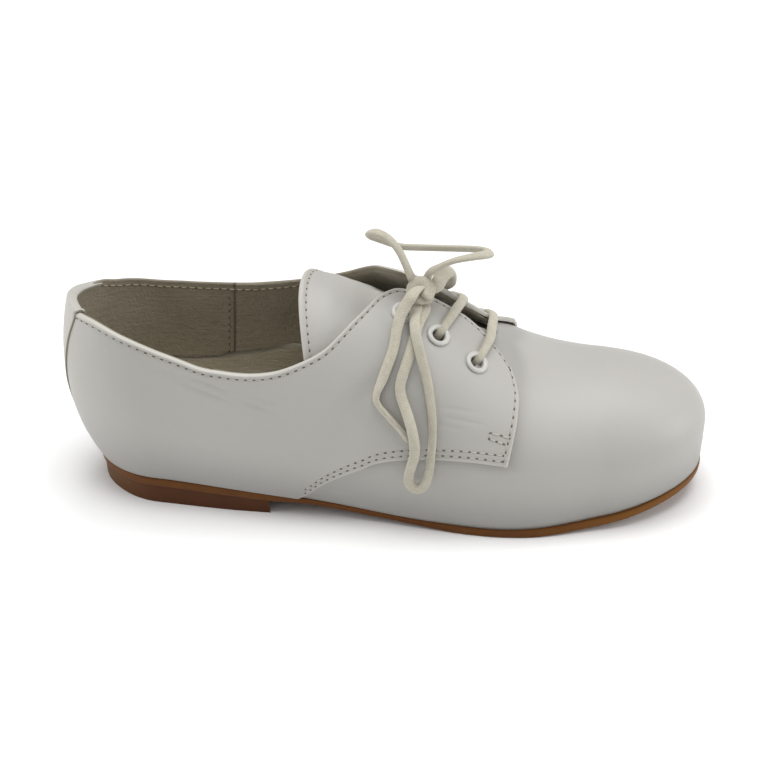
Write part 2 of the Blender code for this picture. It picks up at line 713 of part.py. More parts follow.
# Centre the shoe over the origin by its leather, sole and eyelets; the lace is left out of the box.
bpy.context.view_layer.update()
depsgraph = bpy.context.evaluated_depsgraph_get()
corners = []
for solid in shoe_collection.objects:
    if solid.type == "MESH":
        shape = solid.evaluated_get(depsgraph)
        corners += [shape.matrix_world @ Vector(corner) for corner in shape.bound_box]
middle = [-(min(c[axis] for c in corners) + max(c[axis] for c in corners)) / 2 for axis in (0, 1)]
stand = bpy.data.objects.new("stand", None)
shoe_collection.objects.link(stand)
for solid in (*shoe_collection.objects, *cutter_collection.objects):
    if solid is not stand:
        solid.parent = stand
stand.location = (middle[0], middle[1], 0.0)
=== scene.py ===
import math

import bmesh
import bpy
import numpy as np
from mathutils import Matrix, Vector


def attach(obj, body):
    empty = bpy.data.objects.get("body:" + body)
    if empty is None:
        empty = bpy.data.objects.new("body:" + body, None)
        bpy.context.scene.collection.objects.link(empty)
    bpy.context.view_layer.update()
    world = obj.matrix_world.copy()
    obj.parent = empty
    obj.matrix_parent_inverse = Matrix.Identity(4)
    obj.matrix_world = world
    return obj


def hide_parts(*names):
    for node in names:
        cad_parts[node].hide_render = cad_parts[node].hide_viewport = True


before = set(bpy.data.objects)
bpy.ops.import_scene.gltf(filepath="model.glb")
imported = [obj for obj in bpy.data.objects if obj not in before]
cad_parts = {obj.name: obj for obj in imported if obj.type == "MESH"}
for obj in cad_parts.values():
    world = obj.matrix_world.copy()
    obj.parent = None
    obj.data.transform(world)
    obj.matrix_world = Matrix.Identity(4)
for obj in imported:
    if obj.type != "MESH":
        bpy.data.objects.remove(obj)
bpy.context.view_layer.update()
mm = 0.001
outerSide, innerSide = -1, 1  # -Y is the outer side of this right shoe

# The last. Sizes are millimetres before the shoe is centred, +X to the toe.
lastShape = {
    "heelCentreX": 24.0, "toeCentreX": 168.0, "toeCentreY": 2.0,
    "heelArc": 38.0, "toeArc": 51.0, "toeSlope": -0.10,
    "fullness": 2.15, "lowerShare": 0.3,
    "centre": (96.850, 1.041, 0.0),  # middle of the shoe's box in these sizes
}
settle = {"depth": 2.9, "x": (92.0, 104.0, 126.0, 138.0), "y": (8.5, 15.5, 19.0, 28.0),
          "z": (34.0, 48.0)}  # inner facing sinks a little behind its edge
toeStart = lastShape["heelArc"] + lastShape["toeCentreX"] - lastShape["heelCentreX"]
tip = toeStart + lastShape["toeArc"]


def alongAt(x):
    return lastShape["heelArc"] + x - lastShape["heelCentreX"]


def xAt(along):
    return along - lastShape["heelArc"] + lastShape["heelCentreX"]


def table(names, *rows):
    return {name: np.array(column) for name, column in zip(names.split(), zip(*rows))}


def smooth(value, start, end):
    t = np.clip((value - start) / (end - start), 0, 1)
    return t * t * (3 - 2 * t)


sections = table(
    "along featherOut featherIn bulgeOut bulgeIn featherZ bulgeZ ridgeZ",
    (0.0, 21.8, 21.8, 29.2, 29.2, 10.1, 39.0, 92.0),  # heel back
    (19.0, 20.4, 20.8, 27.0, 26.8, 10.1, 36.0, 101.0),  # heel corner
    (38.0, 21.4, 21.4, 25.7, 25.4, 10.1, 31.0, 104.0),  # heel side
    (alongAt(50), 25.0, 22.6, 28.1, 26.5, 9.1, 27.0, 88.0),  # counter
    (alongAt(80), 27.8, 21.4, 31.2, 27.2, 6.4, 24.0, 74.5),  # waist
    (alongAt(106), 32.0, 26.5, 34.0, 30.7, 3.9, 22.0, 68.6),  # instep
    (alongAt(121), 34.4, 30.6, 36.0, 33.6, 3.1, 20.8, 60.6),  # throat
    (alongAt(136), 36.0, 33.4, 37.0, 35.4, 2.9, 19.8, 50.9),  # ball
    (alongAt(151), 34.6, 33.8, 36.0, 35.4, 3.5, 19.0, 44.8),  # vamp
    (toeStart, 30.2, 30.8, 32.0, 32.2, 5.2, 18.5, 43.2),  # toe side
    (toeStart + 25.5, 29.2, 30.8, 31.6, 32.4, 8.6, 23.0, 43.2),  # toe corner
    (tip, 33.2, 33.2, 33.4, 33.4, 10.6, 25.0, 43.2),  # toe tip
)

lean = table(  # instep towards the inner side
    "along shift",
    (alongAt(55), 0.0), (alongAt(75), 2.0), (alongAt(92), 4.0), (alongAt(105), 4.4),
    (alongAt(118), 3.8), (alongAt(135), 1.8), (alongAt(151), 0.6), (toeStart, 0.0))
collar = table(  # rise of the top edge on each side
    "along riseOut riseIn",
    (0.0, 0.512, 0.512), (5.0, 0.518, 0.498), (10.0, 0.513, 0.481), (14.0, 0.503, 0.470),
    (21.0, 0.497, 0.450), (32.4, 0.479, 0.443), (44.5, 0.466, 0.459), (54.0, 0.465, 0.481),
    (63.8, 0.480, 0.513), (71.2, 0.498, 0.546), (78.6, 0.526, 0.584), (86.1, 0.571, 0.628),
    (93.6, 0.631, 0.682), (97.9, 0.686, 0.718), (101.6, 0.742, 0.760), (105.6, 0.804, 0.815),
    (109.2, 0.869, 0.876), (111.8, 0.901, 0.912), (114.4, 0.925, 0.940), (117.4, 0.935, 0.957),
    (126.6, 0.949, 0.968), (135.4, 0.951, 0.964), (139.5, 0.940, 0.940), (143.0, 0.916, 0.906),
    (147.2, 0.876, 0.868), (151.0, 0.826, 0.820), (155.0, 0.800, 0.796))


def hermite(columns, key, name):  # monotone cubic through one column, constant past its ends
    xs, ys = list(columns.values())[0], columns[name]
    steps = np.diff(ys) / np.diff(xs)
    product = steps[:-1] * steps[1:]
    total = np.where(product > 0, steps[:-1] + steps[1:], 1.0)
    inner = np.where(product > 0, 2 * product / total, 0.0)
    slopes = np.concatenate((steps[:1], inner, steps[-1:]))
    key = np.clip(np.asarray(key, float), xs[0], xs[-1])
    i = np.clip(np.searchsorted(xs, key, side="right") - 1, 0, len(xs) - 2)
    width = xs[i + 1] - xs[i]
    t = (key - xs[i]) / width
    lead = ys[i] * (1 + 2 * t) * (1 - t) ** 2 + ys[i + 1] * t * t * (3 - 2 * t)
    return lead + width * (slopes[i] * t * (1 - t) ** 2 - slopes[i + 1] * t * t * (1 - t))


def outlineColumn(outerName, innerName):  # periodic cubic spline round the foot, outer side first
    knots = np.concatenate((sections["along"], 2 * tip - sections["along"][-2:0:-1]))
    values = np.concatenate((sections[outerName], sections[innerName][-2:0:-1]))
    count, period = len(knots), 2 * tip
    spans = np.diff(np.append(knots, knots[0] + period))
    matrix, bends = np.zeros((count, count)), np.zeros(count)
    for i in range(count):
        before, after, following = spans[i - 1], spans[i], (i + 1) % count
        matrix[i, i - 1] += before / 6
        matrix[i, i] += (before + after) / 3
        matrix[i, following] += after / 6
        bends[i] = (values[following] - values[i]) / after - (values[i] - values[i - 1]) / before
    curve = np.linalg.solve(matrix, bends)

    def at(along, side):
        key = np.mod(np.where(np.asarray(side) < 0, along, period - np.asarray(along)), period)
        i = np.clip(np.searchsorted(knots, key, side="right") - 1, 0, count - 1)
        j = (i + 1) % count
        b = (key - knots[i]) / spans[i]
        a = 1 - b
        bow = ((a ** 3 - a) * curve[i] + (b ** 3 - b) * curve[j]) * spans[i] ** 2 / 6
        return a * values[i] + b * values[j] + bow

    return at


featherRadius = outlineColumn("featherOut", "featherIn")
bulgeRadius = outlineColumn("bulgeOut", "bulgeIn")
featherHeight = outlineColumn("featherZ", "featherZ")
bulgeHeight = outlineColumn("bulgeZ", "bulgeZ")
ridgeHeight = outlineColumn("ridgeZ", "ridgeZ")


def planPoint(along, side, radius, z):  # ribs fan round the heel and the toe
    heelX, toeX = lastShape["heelCentreX"], lastShape["toeCentreX"]
    inHeel, inToe = along < lastShape["heelArc"], along > toeStart
    x = np.where(inHeel, heelX, np.where(inToe, toeX, xAt(along)))
    turnHeel = np.pi - along / lastShape["heelArc"] * np.pi / 2
    turnToe = np.pi / 2 - (along - toeStart) / lastShape["toeArc"] * np.pi / 2
    angle = np.where(inHeel, turnHeel, np.where(inToe, turnToe, np.pi / 2))
    share = (x - heelX) / (toeX - heelX)
    y = lastShape["toeCentreY"] * share * share * (3 - 2 * share)
    return np.stack((x + np.cos(angle) * radius, y + side * np.sin(angle) * radius, z + 0 * x), -1)


def lastPoint(along, side, rise):  # rise 0 is the feather line, 1 the ridge
    along, side, rise = (np.array(v, float) for v in np.broadcast_arrays(along, side, rise))
    beyond = (along < 0) | (along > tip)
    side = np.where(beyond, -side, side)
    along = np.where(along < 0, -along, np.where(along > tip, 2 * tip - along, along))
    feather, bulge = featherRadius(along, side), bulgeRadius(along, side)
    low, middle = featherHeight(along, side), bulgeHeight(along, side)
    top = ridgeHeight(np.minimum(along, toeStart), side)
    part, power = lastShape["lowerShare"], 2 / lastShape["fullness"]
    share = np.clip(rise / part, 0, 1)
    turn = np.clip((rise - part) / (1 - part), 0, 1) * np.pi / 2
    below = rise < part
    radius = np.where(below, feather + (bulge - feather) * (1 - (1 - share) ** 2),
                      bulge * np.maximum(np.cos(turn), 0) ** power)
    z = np.where(below, low + (middle - low) * share, middle + (top - middle) * np.sin(turn) ** power)
    point = planPoint(along, side, radius, z)
    drop = lastShape["toeSlope"] * (point[..., 0] - lastShape["toeCentreX"])
    point[..., 2] += np.where(along > toeStart, drop * (1 - np.minimum(radius / bulge, 1) ** 2), 0)
    point[..., 1] += hermite(lean, along, "shift") * (turn / (np.pi / 2)) ** 2
    x, y, z = np.moveaxis(point, -1, 0)
    sunk = smooth(x, *settle["x"][:2]) * (1 - smooth(x, *settle["x"][2:])) * smooth(z, *settle["z"])
    point[..., 2] -= settle["depth"] * sunk * smooth(y, *settle["y"][:2]) * (1 - smooth(y, *settle["y"][2:]))
    return point


def unit(vectors):
    return vectors / np.maximum(np.linalg.norm(vectors, axis=-1, keepdims=True), 1e-12)


def skinNormal(along, side, rise):
    along, side, rise = (np.array(v, float) for v in np.broadcast_arrays(along, side, rise))
    step, lift = 0.1, 0.004
    ahead = lastPoint(along + step, side, rise) - lastPoint(along - step, side, rise)
    higher, lower = np.minimum(rise + lift, 1), np.maximum(rise - lift, 0)
    up = lastPoint(along, side, higher) - lastPoint(along, side, lower)
    normal = np.cross(ahead, up) * -side[..., None]
    ridgeAhead = lastPoint(along + step, side, 1.0) - lastPoint(along - step, side, 1.0)
    across = lastPoint(along, innerSide, 0.98) - lastPoint(along, outerSide, 0.98)
    toeTop = np.array((-lastShape["toeSlope"], 0, 1))
    ridge = np.where((along > toeStart)[..., None], toeTop, np.cross(ridgeAhead, across))
    return unit(np.where((rise > 0.995)[..., None], ridge, normal))


def skin(along, side, rise, lift):  # last surface moved outward, lower edge kept level
    point = lastPoint(along, side, rise) + skinNormal(along, side, rise) * np.asarray(lift)[..., None]
    point[..., 2] = np.where(np.asarray(rise) == 0, featherHeight(along, side), point[..., 2])
    return point


def collarRise(along, side):
    return np.where(np.asarray(side) < 0, hermite(collar, along, "riseOut"), hermite(collar, along, "riseIn"))


def toFrame(points):
    return (np.asarray(points, float) - np.array(lastShape["centre"])) * mm


print("last ready, length", round(float(lastPoint(tip, 1, 0.3)[0] - lastPoint(0, 1, 0.3)[0]), 1), "mm")


# Mesh helpers
def gridFaces(rows, columns, start=0, flip=False):
    corner = start + np.arange(rows - 1)[:, None] * columns + np.arange(columns - 1)
    quads = np.stack((corner, corner + columns, corner + columns + 1, corner + 1), -1).reshape(-1, 4)
    return quads[:, ::-1] if flip else quads


def borderLoop(rows, columns):
    top = np.arange(columns)
    right = np.arange(1, rows) * columns + columns - 1
    bottom = (rows - 1) * columns + np.arange(columns - 2, -1, -1)
    left = np.arange(rows - 2, 0, -1) * columns
    return np.concatenate((top, right, bottom, left))


def addPiece(name, points, faces, materials, slots=None, marks=None, weld=0.0, sharp=60, uv=None):
    data = bpy.data.meshes.new(name)
    data.from_pydata(toFrame(points).tolist(), [], [tuple(int(v) for v in f) for f in faces])
    for made in materials:
        data.materials.append(made)
    if slots is not None:
        data.polygons.foreach_set("material_index", np.asarray(slots, np.int32))
    for markName, values in (marks or {}).items():
        layer = data.attributes.new(markName, "FLOAT", "POINT")
        layer.data.foreach_set("value", np.asarray(values, np.float32).ravel())
    if uv is not None:
        corners = np.zeros(len(data.loops), np.int32)
        data.loops.foreach_get("vertex_index", corners)
        data.uv_layers.new(name="UVMap").data.foreach_set("uv", np.asarray(uv, np.float32)[corners].ravel())
    work = bmesh.new()
    work.from_mesh(data)
    loose = [corner for corner in work.verts if not corner.link_faces]
    bmesh.ops.delete(work, geom=loose, context="VERTS")
    if weld:
        bmesh.ops.remove_doubles(work, verts=work.verts, dist=weld)
        bmesh.ops.dissolve_degenerate(work, edges=work.edges, dist=weld / 2)
    bmesh.ops.recalc_face_normals(work, faces=work.faces)
    work.to_mesh(data)
    work.free()
    data.shade_smooth()
    data.set_sharp_from_angle(angle=math.radians(sharp))
    piece = bpy.data.objects.new(name, data)
    bpy.context.scene.collection.objects.link(piece)
    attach(piece, "root")
    return piece


# A closed sheet between two grids, with holes where it is cut.
def layerPiece(name, outer, inner, materials, slot, marks=None, sharp=60, cut=None):
    rows, columns = outer.shape[:2]
    count = rows * columns
    keep = np.ones((rows - 1, columns - 1), bool) if cut is None else ~cut
    faces = [gridFaces(rows, columns)[keep.ravel()], gridFaces(rows, columns, count, True)[keep.ravel()]]
    rim = borderLoop(rows, columns)
    after = np.roll(rim, -1)
    walls = [np.stack((rim, after, after + count, rim + count), -1)]
    for i, j in np.argwhere(keep[1:] != keep[:-1]):  # the holes' own walls
        a = (i + 1) * columns + j
        walls.append(np.array([(a, a + 1, a + 1 + count, a + count)]))
    for i, j in np.argwhere(keep[:, 1:] != keep[:, :-1]):
        a = i * columns + j + 1
        walls.append(np.array([(a, a + columns, a + columns + count, a + count)]))
    faces.append(np.concatenate(walls))
    slots = np.concatenate([np.full(len(part), min(k, len(materials) - 1)) for k, part in enumerate(faces)])
    points = np.concatenate((outer.reshape(-1, 3), inner.reshape(-1, 3)))
    both = {key: np.concatenate((v.ravel(), v.ravel())) for key, v in (marks or {}).items()}
    return addPiece(name, points, np.concatenate(faces), materials, slots, both, sharp=sharp)


def runLength(points, axis):  # distance travelled along one direction of a grid
    steps = np.linalg.norm(np.diff(points, axis=axis), axis=-1)
    zero = np.zeros_like(np.take(steps, [0], axis=axis))
    return np.cumsum(np.concatenate((zero, steps), axis=axis), axis=axis)


def roundOff(distance, radius):  # 0 on an edge, 1 past its rounding
    share = np.clip(distance / radius, 0, 1)
    return np.sqrt(np.maximum(1 - (1 - share) ** 2, 0))


def bell(distance, width):
    return np.exp(-(distance / width) ** 2)


def bothSides(half):  # one run along the outer side, round an end and back along the inner side
    run = np.concatenate((half[::-1], half[1:]))
    side = np.concatenate((np.full(len(half), outerSide), np.full(len(half) - 1, innerSide)))
    return run[:, None], side[:, None]


def evenPoints(line, step, least, *others):  # a line in even steps, and what goes along it
    lengths = np.concatenate(([0], np.cumsum(np.linalg.norm(np.diff(line, axis=0), axis=1))))
    marks = np.linspace(0, lengths[-1], max(least, round(lengths[-1] / step)) + 1)
    return [np.stack([np.interp(marks, lengths, values[:, axis]) for axis in range(3)], -1)
            for values in (line, *others)]


edgeOffsets = np.array((0.0, 0.06, 0.15, 0.28, 0.45, 0.68, 1.0, 1.35, 1.7, 2.1))


def edgeShares(length, middle, first=True, last=True):  # close rows at each end of a run
    offsets = edgeOffsets / length
    low = offsets if first else np.array((0.0,))
    high = 1 - offsets[::-1] if last else np.array((1.0,))
    return np.concatenate((low, np.linspace(low[-1], high[0], middle + 2)[1:-1], high))


# Shader helpers
def newGroup(name, inputs, outputs):  # a socket's kind follows from how many numbers it carries
    kinds = {1: "NodeSocketFloat", 3: "NodeSocketVector", 4: "NodeSocketColor"}
    group = bpy.data.node_groups.new(name, "ShaderNodeTree")
    for label, value in inputs.items():
        socket = group.interface.new_socket(label, in_out="INPUT", socket_type=kinds[np.size(value)])
        socket.default_value = value
    for label, count in outputs.items():
        group.interface.new_socket(label, in_out="OUTPUT", socket_type=kinds[count])
    return group, group.nodes.new("NodeGroupInput").outputs, group.nodes.new("NodeGroupOutput").inputs


def node(tree, kind, links=None, **values):
    made = tree.nodes.new(kind)
    for key, value in values.items():
        setattr(made, key, value)
    for key, value in (links or {}).items():
        socket = made.inputs[key]
        if isinstance(value, bpy.types.NodeSocket):
            tree.links.new(value, socket)
        else:
            socket.default_value = value
    return made


def mathNode(tree, operation, *values, clamp=False):
    made = node(tree, "ShaderNodeMath", dict(enumerate(values)), operation=operation, use_clamp=clamp)
    return made.outputs[0]


def mixColour(tree, share, first, second):
    made = node(tree, "ShaderNodeMix", {"Factor": share, "A": first, "B": second}, data_type="RGBA")
    return made.outputs["Result"]


def grainGroup():  # fine pebble and pores of finished leather
    group, taken, given = newGroup(
        "leatherGrain", {"Scale": 900.0, "Pores": 0.3}, {"Height": 1, "Mask": 1})
    where = node(group, "ShaderNodeTexCoord").outputs["Object"]
    pebble = node(group, "ShaderNodeTexVoronoi", {"Vector": where, "Scale": taken["Scale"]},
                  feature="SMOOTH_F1")
    broad = mathNode(group, "MULTIPLY", taken["Scale"], 0.35)
    cloud = node(group, "ShaderNodeTexNoise", {"Vector": where, "Scale": broad, "Detail": 4.0})
    pore = mathNode(group, "MULTIPLY", pebble.outputs["Distance"], taken["Pores"])
    height = mathNode(group, "SUBTRACT", cloud.outputs["Fac"], pore)
    group.links.new(height, given["Height"])
    group.links.new(cloud.outputs["Fac"], given["Mask"])
    return group


def tintGroup():  # broad soft change of tone, as hide, dye or dust gives
    group, taken, given = newGroup("softTint", {
        "Colour": (0.6, 0.6, 0.6, 1), "Worn": (0.5, 0.5, 0.45, 1),
        "Scale": 40.0, "Amount": 0.3}, {"Colour": 4})
    where = node(group, "ShaderNodeTexCoord").outputs["Object"]
    cloud = node(group, "ShaderNodeTexNoise", {
        "Vector": where, "Scale": taken["Scale"], "Detail": 5.0, "Roughness": 0.6})
    spread = node(group, "ShaderNodeMapRange", {
        "Value": cloud.outputs["Fac"], "From Min": 0.38, "From Max": 0.72})
    mask = mathNode(group, "MULTIPLY", spread.outputs[0], taken["Amount"])
    colour = mixColour(group, mask, taken["Colour"], taken["Worn"])
    group.links.new(colour, given["Colour"])
    return group


def edgeGroup():  # tone where the mesh is marked for it: an edge's tone, painted shade, a broad tone shift
    group, taken, given = newGroup("edgeTone", {
        "Colour": (0.6, 0.6, 0.6, 1), "Edge": (0.7, 0.66, 0.55, 1),
        "Amount": 1.0, "Mark": 0.0}, {"Colour": 4})
    mask = mathNode(group, "MULTIPLY", taken["Mark"], taken["Amount"], clamp=True)
    colour = mixColour(group, mask, taken["Colour"], taken["Edge"])
    group.links.new(colour, given["Colour"])
    return group


def yarnGroup():  # braided yarns of the lace, from its own length and girth
    group, taken, given = newGroup(
        "laceBraid", {"Around": 6.0, "Along": 700.0}, {"Height": 1, "Mask": 1})
    place = node(group, "ShaderNodeTexCoord")
    split = node(group, "ShaderNodeSeparateXYZ", {"Vector": place.outputs["UV"]})
    around = mathNode(group, "MULTIPLY", split.outputs["X"], taken["Around"])
    along = mathNode(group, "MULTIPLY", split.outputs["Y"], taken["Along"])
    waves = []
    for sign in ("ADD", "SUBTRACT"):  # one set of yarns each way
        turn = mathNode(group, "MULTIPLY", mathNode(group, sign, along, around), 2 * math.pi)
        waves.append(mathNode(group, "SINE", turn))
    height = mathNode(group, "MAXIMUM", *waves)
    fuzz = node(group, "ShaderNodeTexNoise", {
        "Vector": place.outputs["Object"], "Scale": 2600.0, "Detail": 3.0})
    mask = node(group, "ShaderNodeMapRange", {"Value": height, "From Min": -0.6, "From Max": 0.9})
    group.links.new(mathNode(group, "ADD", height, fuzz.outputs["Fac"]), given["Height"])
    group.links.new(mask.outputs[0], given["Mask"])
    return group


def streakGroup():  # fine drawn wrinkles, long one way
    group, taken, given = newGroup(
        "drawnWrinkles", {"Stretch": (100.0, 100.0, 900.0), "Amount": 1.0, "Height": 0.0}, {"Height": 1})
    where = node(group, "ShaderNodeTexCoord").outputs["Object"]
    drawn = node(group, "ShaderNodeVectorMath", {0: where, 1: taken["Stretch"]}, operation="MULTIPLY")
    cloud = node(group, "ShaderNodeTexNoise", {
        "Vector": drawn.outputs[0], "Scale": 1.0, "Detail": 3.0, "Distortion": 0.6})
    total = mathNode(group, "MULTIPLY_ADD", cloud.outputs["Fac"], taken["Amount"], taken["Height"])
    group.links.new(total, given["Height"])
    return group


groups = {"grain": grainGroup(), "tint": tintGroup(), "edge": edgeGroup(), "yarn": yarnGroup(),
          "streak": streakGroup()}


def placeGroup(tree, key, links):
    return node(tree, "ShaderNodeGroup", links, node_tree=groups[key])


def finish(name, look):  # one material from a dictionary of its values
    made = bpy.data.materials.new(name)
    made.use_nodes = True
    tree = made.node_tree
    shader = tree.nodes["Principled BSDF"]
    for label, value in look.get("sockets", {}).items():
        shader.inputs[label].default_value = value
    tint = placeGroup(tree, "tint", {
        "Colour": (*look["colour"], 1), "Worn": (*look["worn"], 1),
        "Scale": look["tintScale"], "Amount": look["tintAmount"]})
    colour = tint.outputs["Colour"]
    for markName in ("shadeAndTone", "edge"):
        if markName in look:
            mark = node(tree, "ShaderNodeAttribute", attribute_name=markName)
            tone = placeGroup(tree, "edge", {
                "Colour": colour, "Edge": (*look[markName], 1),
                "Amount": look[markName + "Amount"], "Mark": mark.outputs["Fac"]})
            colour = tone.outputs["Colour"]
    if "yarn" in look:
        around, along = look["yarn"]
        relief = placeGroup(tree, "yarn", {"Around": around, "Along": along})
        # Painted shade: the lace's grooves between yarns take the darker groove colour.
        colour = mixColour(tree, relief.outputs["Mask"], (*look["groove"], 1), colour)
    else:
        relief = placeGroup(tree, "grain", {"Scale": look["grainScale"], "Pores": look["pores"]})
    tree.links.new(colour, shader.inputs["Base Color"])
    low, high = look["roughness"]
    rough = node(tree, "ShaderNodeMapRange", {
        "Value": relief.outputs["Mask"], "To Min": low, "To Max": high})
    tree.links.new(rough.outputs[0], shader.inputs["Roughness"])
    height = relief.outputs["Height"]
    if "streaks" in look:
        stretch, amount = look["streaks"]
        drawn = placeGroup(tree, "streak", {"Stretch": stretch, "Amount": amount, "Height": height})
        height = drawn.outputs["Height"]
    bump = node(tree, "ShaderNodeBump", {
        "Height": height, "Strength": look["bump"], "Distance": look["bumpDepth"]})
    tree.links.new(bump.outputs["Normal"], shader.inputs["Normal"])
    return made


leatherSockets = {"Specular IOR Level": 0.4, "Coat Weight": 0.08, "Coat Roughness": 0.4}
threadLook = {"tintScale": 500.0, "tintAmount": 0.5, "grainScale": 5000.0, "pores": 0.2,
              "roughness": (0.6, 0.75), "bump": 0.3, "bumpDepth": 0.0002}
holeLook = {"tintScale": 800.0, "tintAmount": 0.5, "grainScale": 4000.0, "pores": 0.2,
            "roughness": (0.85, 0.95), "bump": 0.1, "bumpDepth": 0.0001}
looks = {
    "whiteLeather": {
        "colour": (0.424, 0.413, 0.386), "worn": (0.392, 0.380, 0.348), "tintScale": 22.0, "tintAmount": 0.5,
        # shadeAndTone here is painted shade: darker towards the sole, and a painted shadow on the vamp by the
        # quarters' edges.
        "shadeAndTone": (0.295, 0.289, 0.273), "shadeAndToneAmount": 0.85,
        # edge: the rolled edges' own pale cream, lightened further as a painted highlight.
        "edge": (0.52, 0.503, 0.45), "edgeAmount": 0.8, "grainScale": 1500.0, "pores": 0.35,
        "streaks": ((90.0, 300.0, 420.0), 0.9),
        "roughness": (0.40, 0.56), "bump": 0.22, "bumpDepth": 0.0002,
        "sockets": leatherSockets},
    "strapLeather": {
        "colour": (0.465, 0.45, 0.414), "worn": (0.43, 0.413, 0.37), "tintScale": 40.0, "tintAmount": 0.4,
        "edge": (0.26, 0.255, 0.19), "edgeAmount": 1.0, "grainScale": 1500.0, "pores": 0.35,
        "roughness": (0.40, 0.56), "bump": 0.16, "bumpDepth": 0.0002,
        "sockets": leatherSockets},
    "cutEdge": {
        "colour": (0.26, 0.255, 0.18), "worn": (0.19, 0.185, 0.125), "tintScale": 300.0, "tintAmount": 0.6,
        "grainScale": 2500.0, "pores": 0.2, "roughness": (0.7, 0.85), "bump": 0.3, "bumpDepth": 0.0003},
    "taupeLining": {
        "colour": (0.345, 0.306, 0.232), "worn": (0.268, 0.233, 0.170), "tintScale": 60.0, "tintAmount": 0.7,
        # edge here is painted shade: dark lines where the lining is marked at its seam and edges.
        "edge": (0.085, 0.072, 0.05), "edgeAmount": 1.0, "streaks": ((110.0, 110.0, 900.0), 0.9),
        "grainScale": 1100.0, "pores": 0.5, "roughness": (0.6, 0.78), "bump": 0.6, "bumpDepth": 0.0005,
        "sockets": {"Specular IOR Level": 0.35, "Sheen Weight": 0.15, "Sheen Roughness": 0.5}},
    "taupeSock": {
        "colour": (0.50, 0.455, 0.36), "worn": (0.41, 0.367, 0.282), "tintScale": 45.0, "tintAmount": 0.6,
        # edge here is a painted shadow line along the margin's top edge.
        "edge": (0.085, 0.072, 0.05), "edgeAmount": 1.0, "streaks": ((140.0, 140.0, 1100.0), 1.0),
        "grainScale": 1000.0, "pores": 0.5, "roughness": (0.55, 0.75), "bump": 0.6, "bumpDepth": 0.0005,
        "sockets": {"Specular IOR Level": 0.35}},
    "tanSole": {
        "colour": (0.128, 0.045, 0.008), "worn": (0.085, 0.028, 0.005), "tintScale": 90.0, "tintAmount": 0.7,
        # shadeAndTone here makes the sole lighter towards the toe; edge is a painted shadow along the sole's
        # top, under the upper.
        "shadeAndTone": (0.168, 0.064, 0.008), "shadeAndToneAmount": 1.0,
        "edge": (0.08, 0.03, 0.007), "edgeAmount": 0.4, "grainScale": 2200.0, "pores": 0.25,
        "roughness": (0.42, 0.58), "bump": 0.12, "bumpDepth": 0.0002,
        "sockets": {"Specular IOR Level": 0.16}},
    "brownHeel": {
        "colour": (0.082, 0.028, 0.009), "worn": (0.058, 0.019, 0.006), "tintScale": 80.0, "tintAmount": 0.6,
        "edge": (0.115, 0.052, 0.014), "edgeAmount": 0.8, "grainScale": 2000.0, "pores": 0.25,
        "roughness": (0.45, 0.6), "bump": 0.12, "bumpDepth": 0.0002,
        "sockets": {"Specular IOR Level": 0.16}},
    "whiteEnamel": {
        "colour": (0.52, 0.512, 0.485), "worn": (0.47, 0.455, 0.41), "tintScale": 300.0, "tintAmount": 0.4,
        "grainScale": 3000.0, "pores": 0.1, "roughness": (0.24, 0.36), "bump": 0.05, "bumpDepth": 0.0001,
        "sockets": {"Specular IOR Level": 0.45, "Coat Weight": 0.3, "Coat Roughness": 0.15}},
    "creamCotton": {
        "colour": (0.492, 0.467, 0.388), "worn": (0.375, 0.34, 0.248), "tintScale": 650.0, "tintAmount": 0.7,
        # groove: painted shade between the braid's yarns.
        "yarn": (7.0, 900.0), "groove": (0.42, 0.392, 0.31), "roughness": (0.8, 0.65),
        "bump": 0.22, "bumpDepth": 0.00012,
        "sockets": {"Specular IOR Level": 0.25, "Sheen Weight": 0.2, "Sheen Roughness": 0.6}},
    "stitchThread": {**threadLook, "colour": (0.45, 0.438, 0.398), "worn": (0.40, 0.386, 0.34)},
    "liningThread": {**threadLook, "colour": (0.36, 0.32, 0.215), "worn": (0.29, 0.255, 0.17)},
    # Dark hole colours are painted shade in the needle holes.
    "liningHoleShade": {**holeLook, "colour": (0.15, 0.13, 0.096), "worn": (0.11, 0.095, 0.07)},
    "needleHoleShade": {**holeLook, "colour": (0.135, 0.120, 0.094), "worn": (0.095, 0.083, 0.063)},
}
finishes = {name: finish(name, look) for name, look in looks.items()}
print("finishes ready", len(finishes))

# Camera first, at the photo's own angle to the shoe.
viewSizes = {"azimuth": 3.372, "elevation": 31.618, "distance": 500.0, "target": (100.0, 0.0, 30.0),
             "lens": 71.715, "shift": (-0.0132, 0.0152)}


def addCamera():
    turn, tilt = math.radians(viewSizes["azimuth"]), math.radians(viewSizes["elevation"])
    back = Vector((math.sin(turn) * math.cos(tilt), -math.cos(turn) * math.cos(tilt), math.sin(tilt)))
    data = bpy.data.cameras.new("shoeCamera")
    data.sensor_width = 36.0
    data.lens = viewSizes["lens"]
    data.shift_x, data.shift_y = viewSizes["shift"]
    data.clip_start = 0.01
    camera = bpy.data.objects.new("shoeCamera", data)
    bpy.context.scene.collection.objects.link(camera)
    camera.location = Vector(toFrame(viewSizes["target"])) + back * viewSizes["distance"] * mm
    camera.rotation_euler = (-back).to_track_quat("-Z", "Y").to_euler()
    bpy.context.scene.camera = camera


addCamera()
print("camera ready")

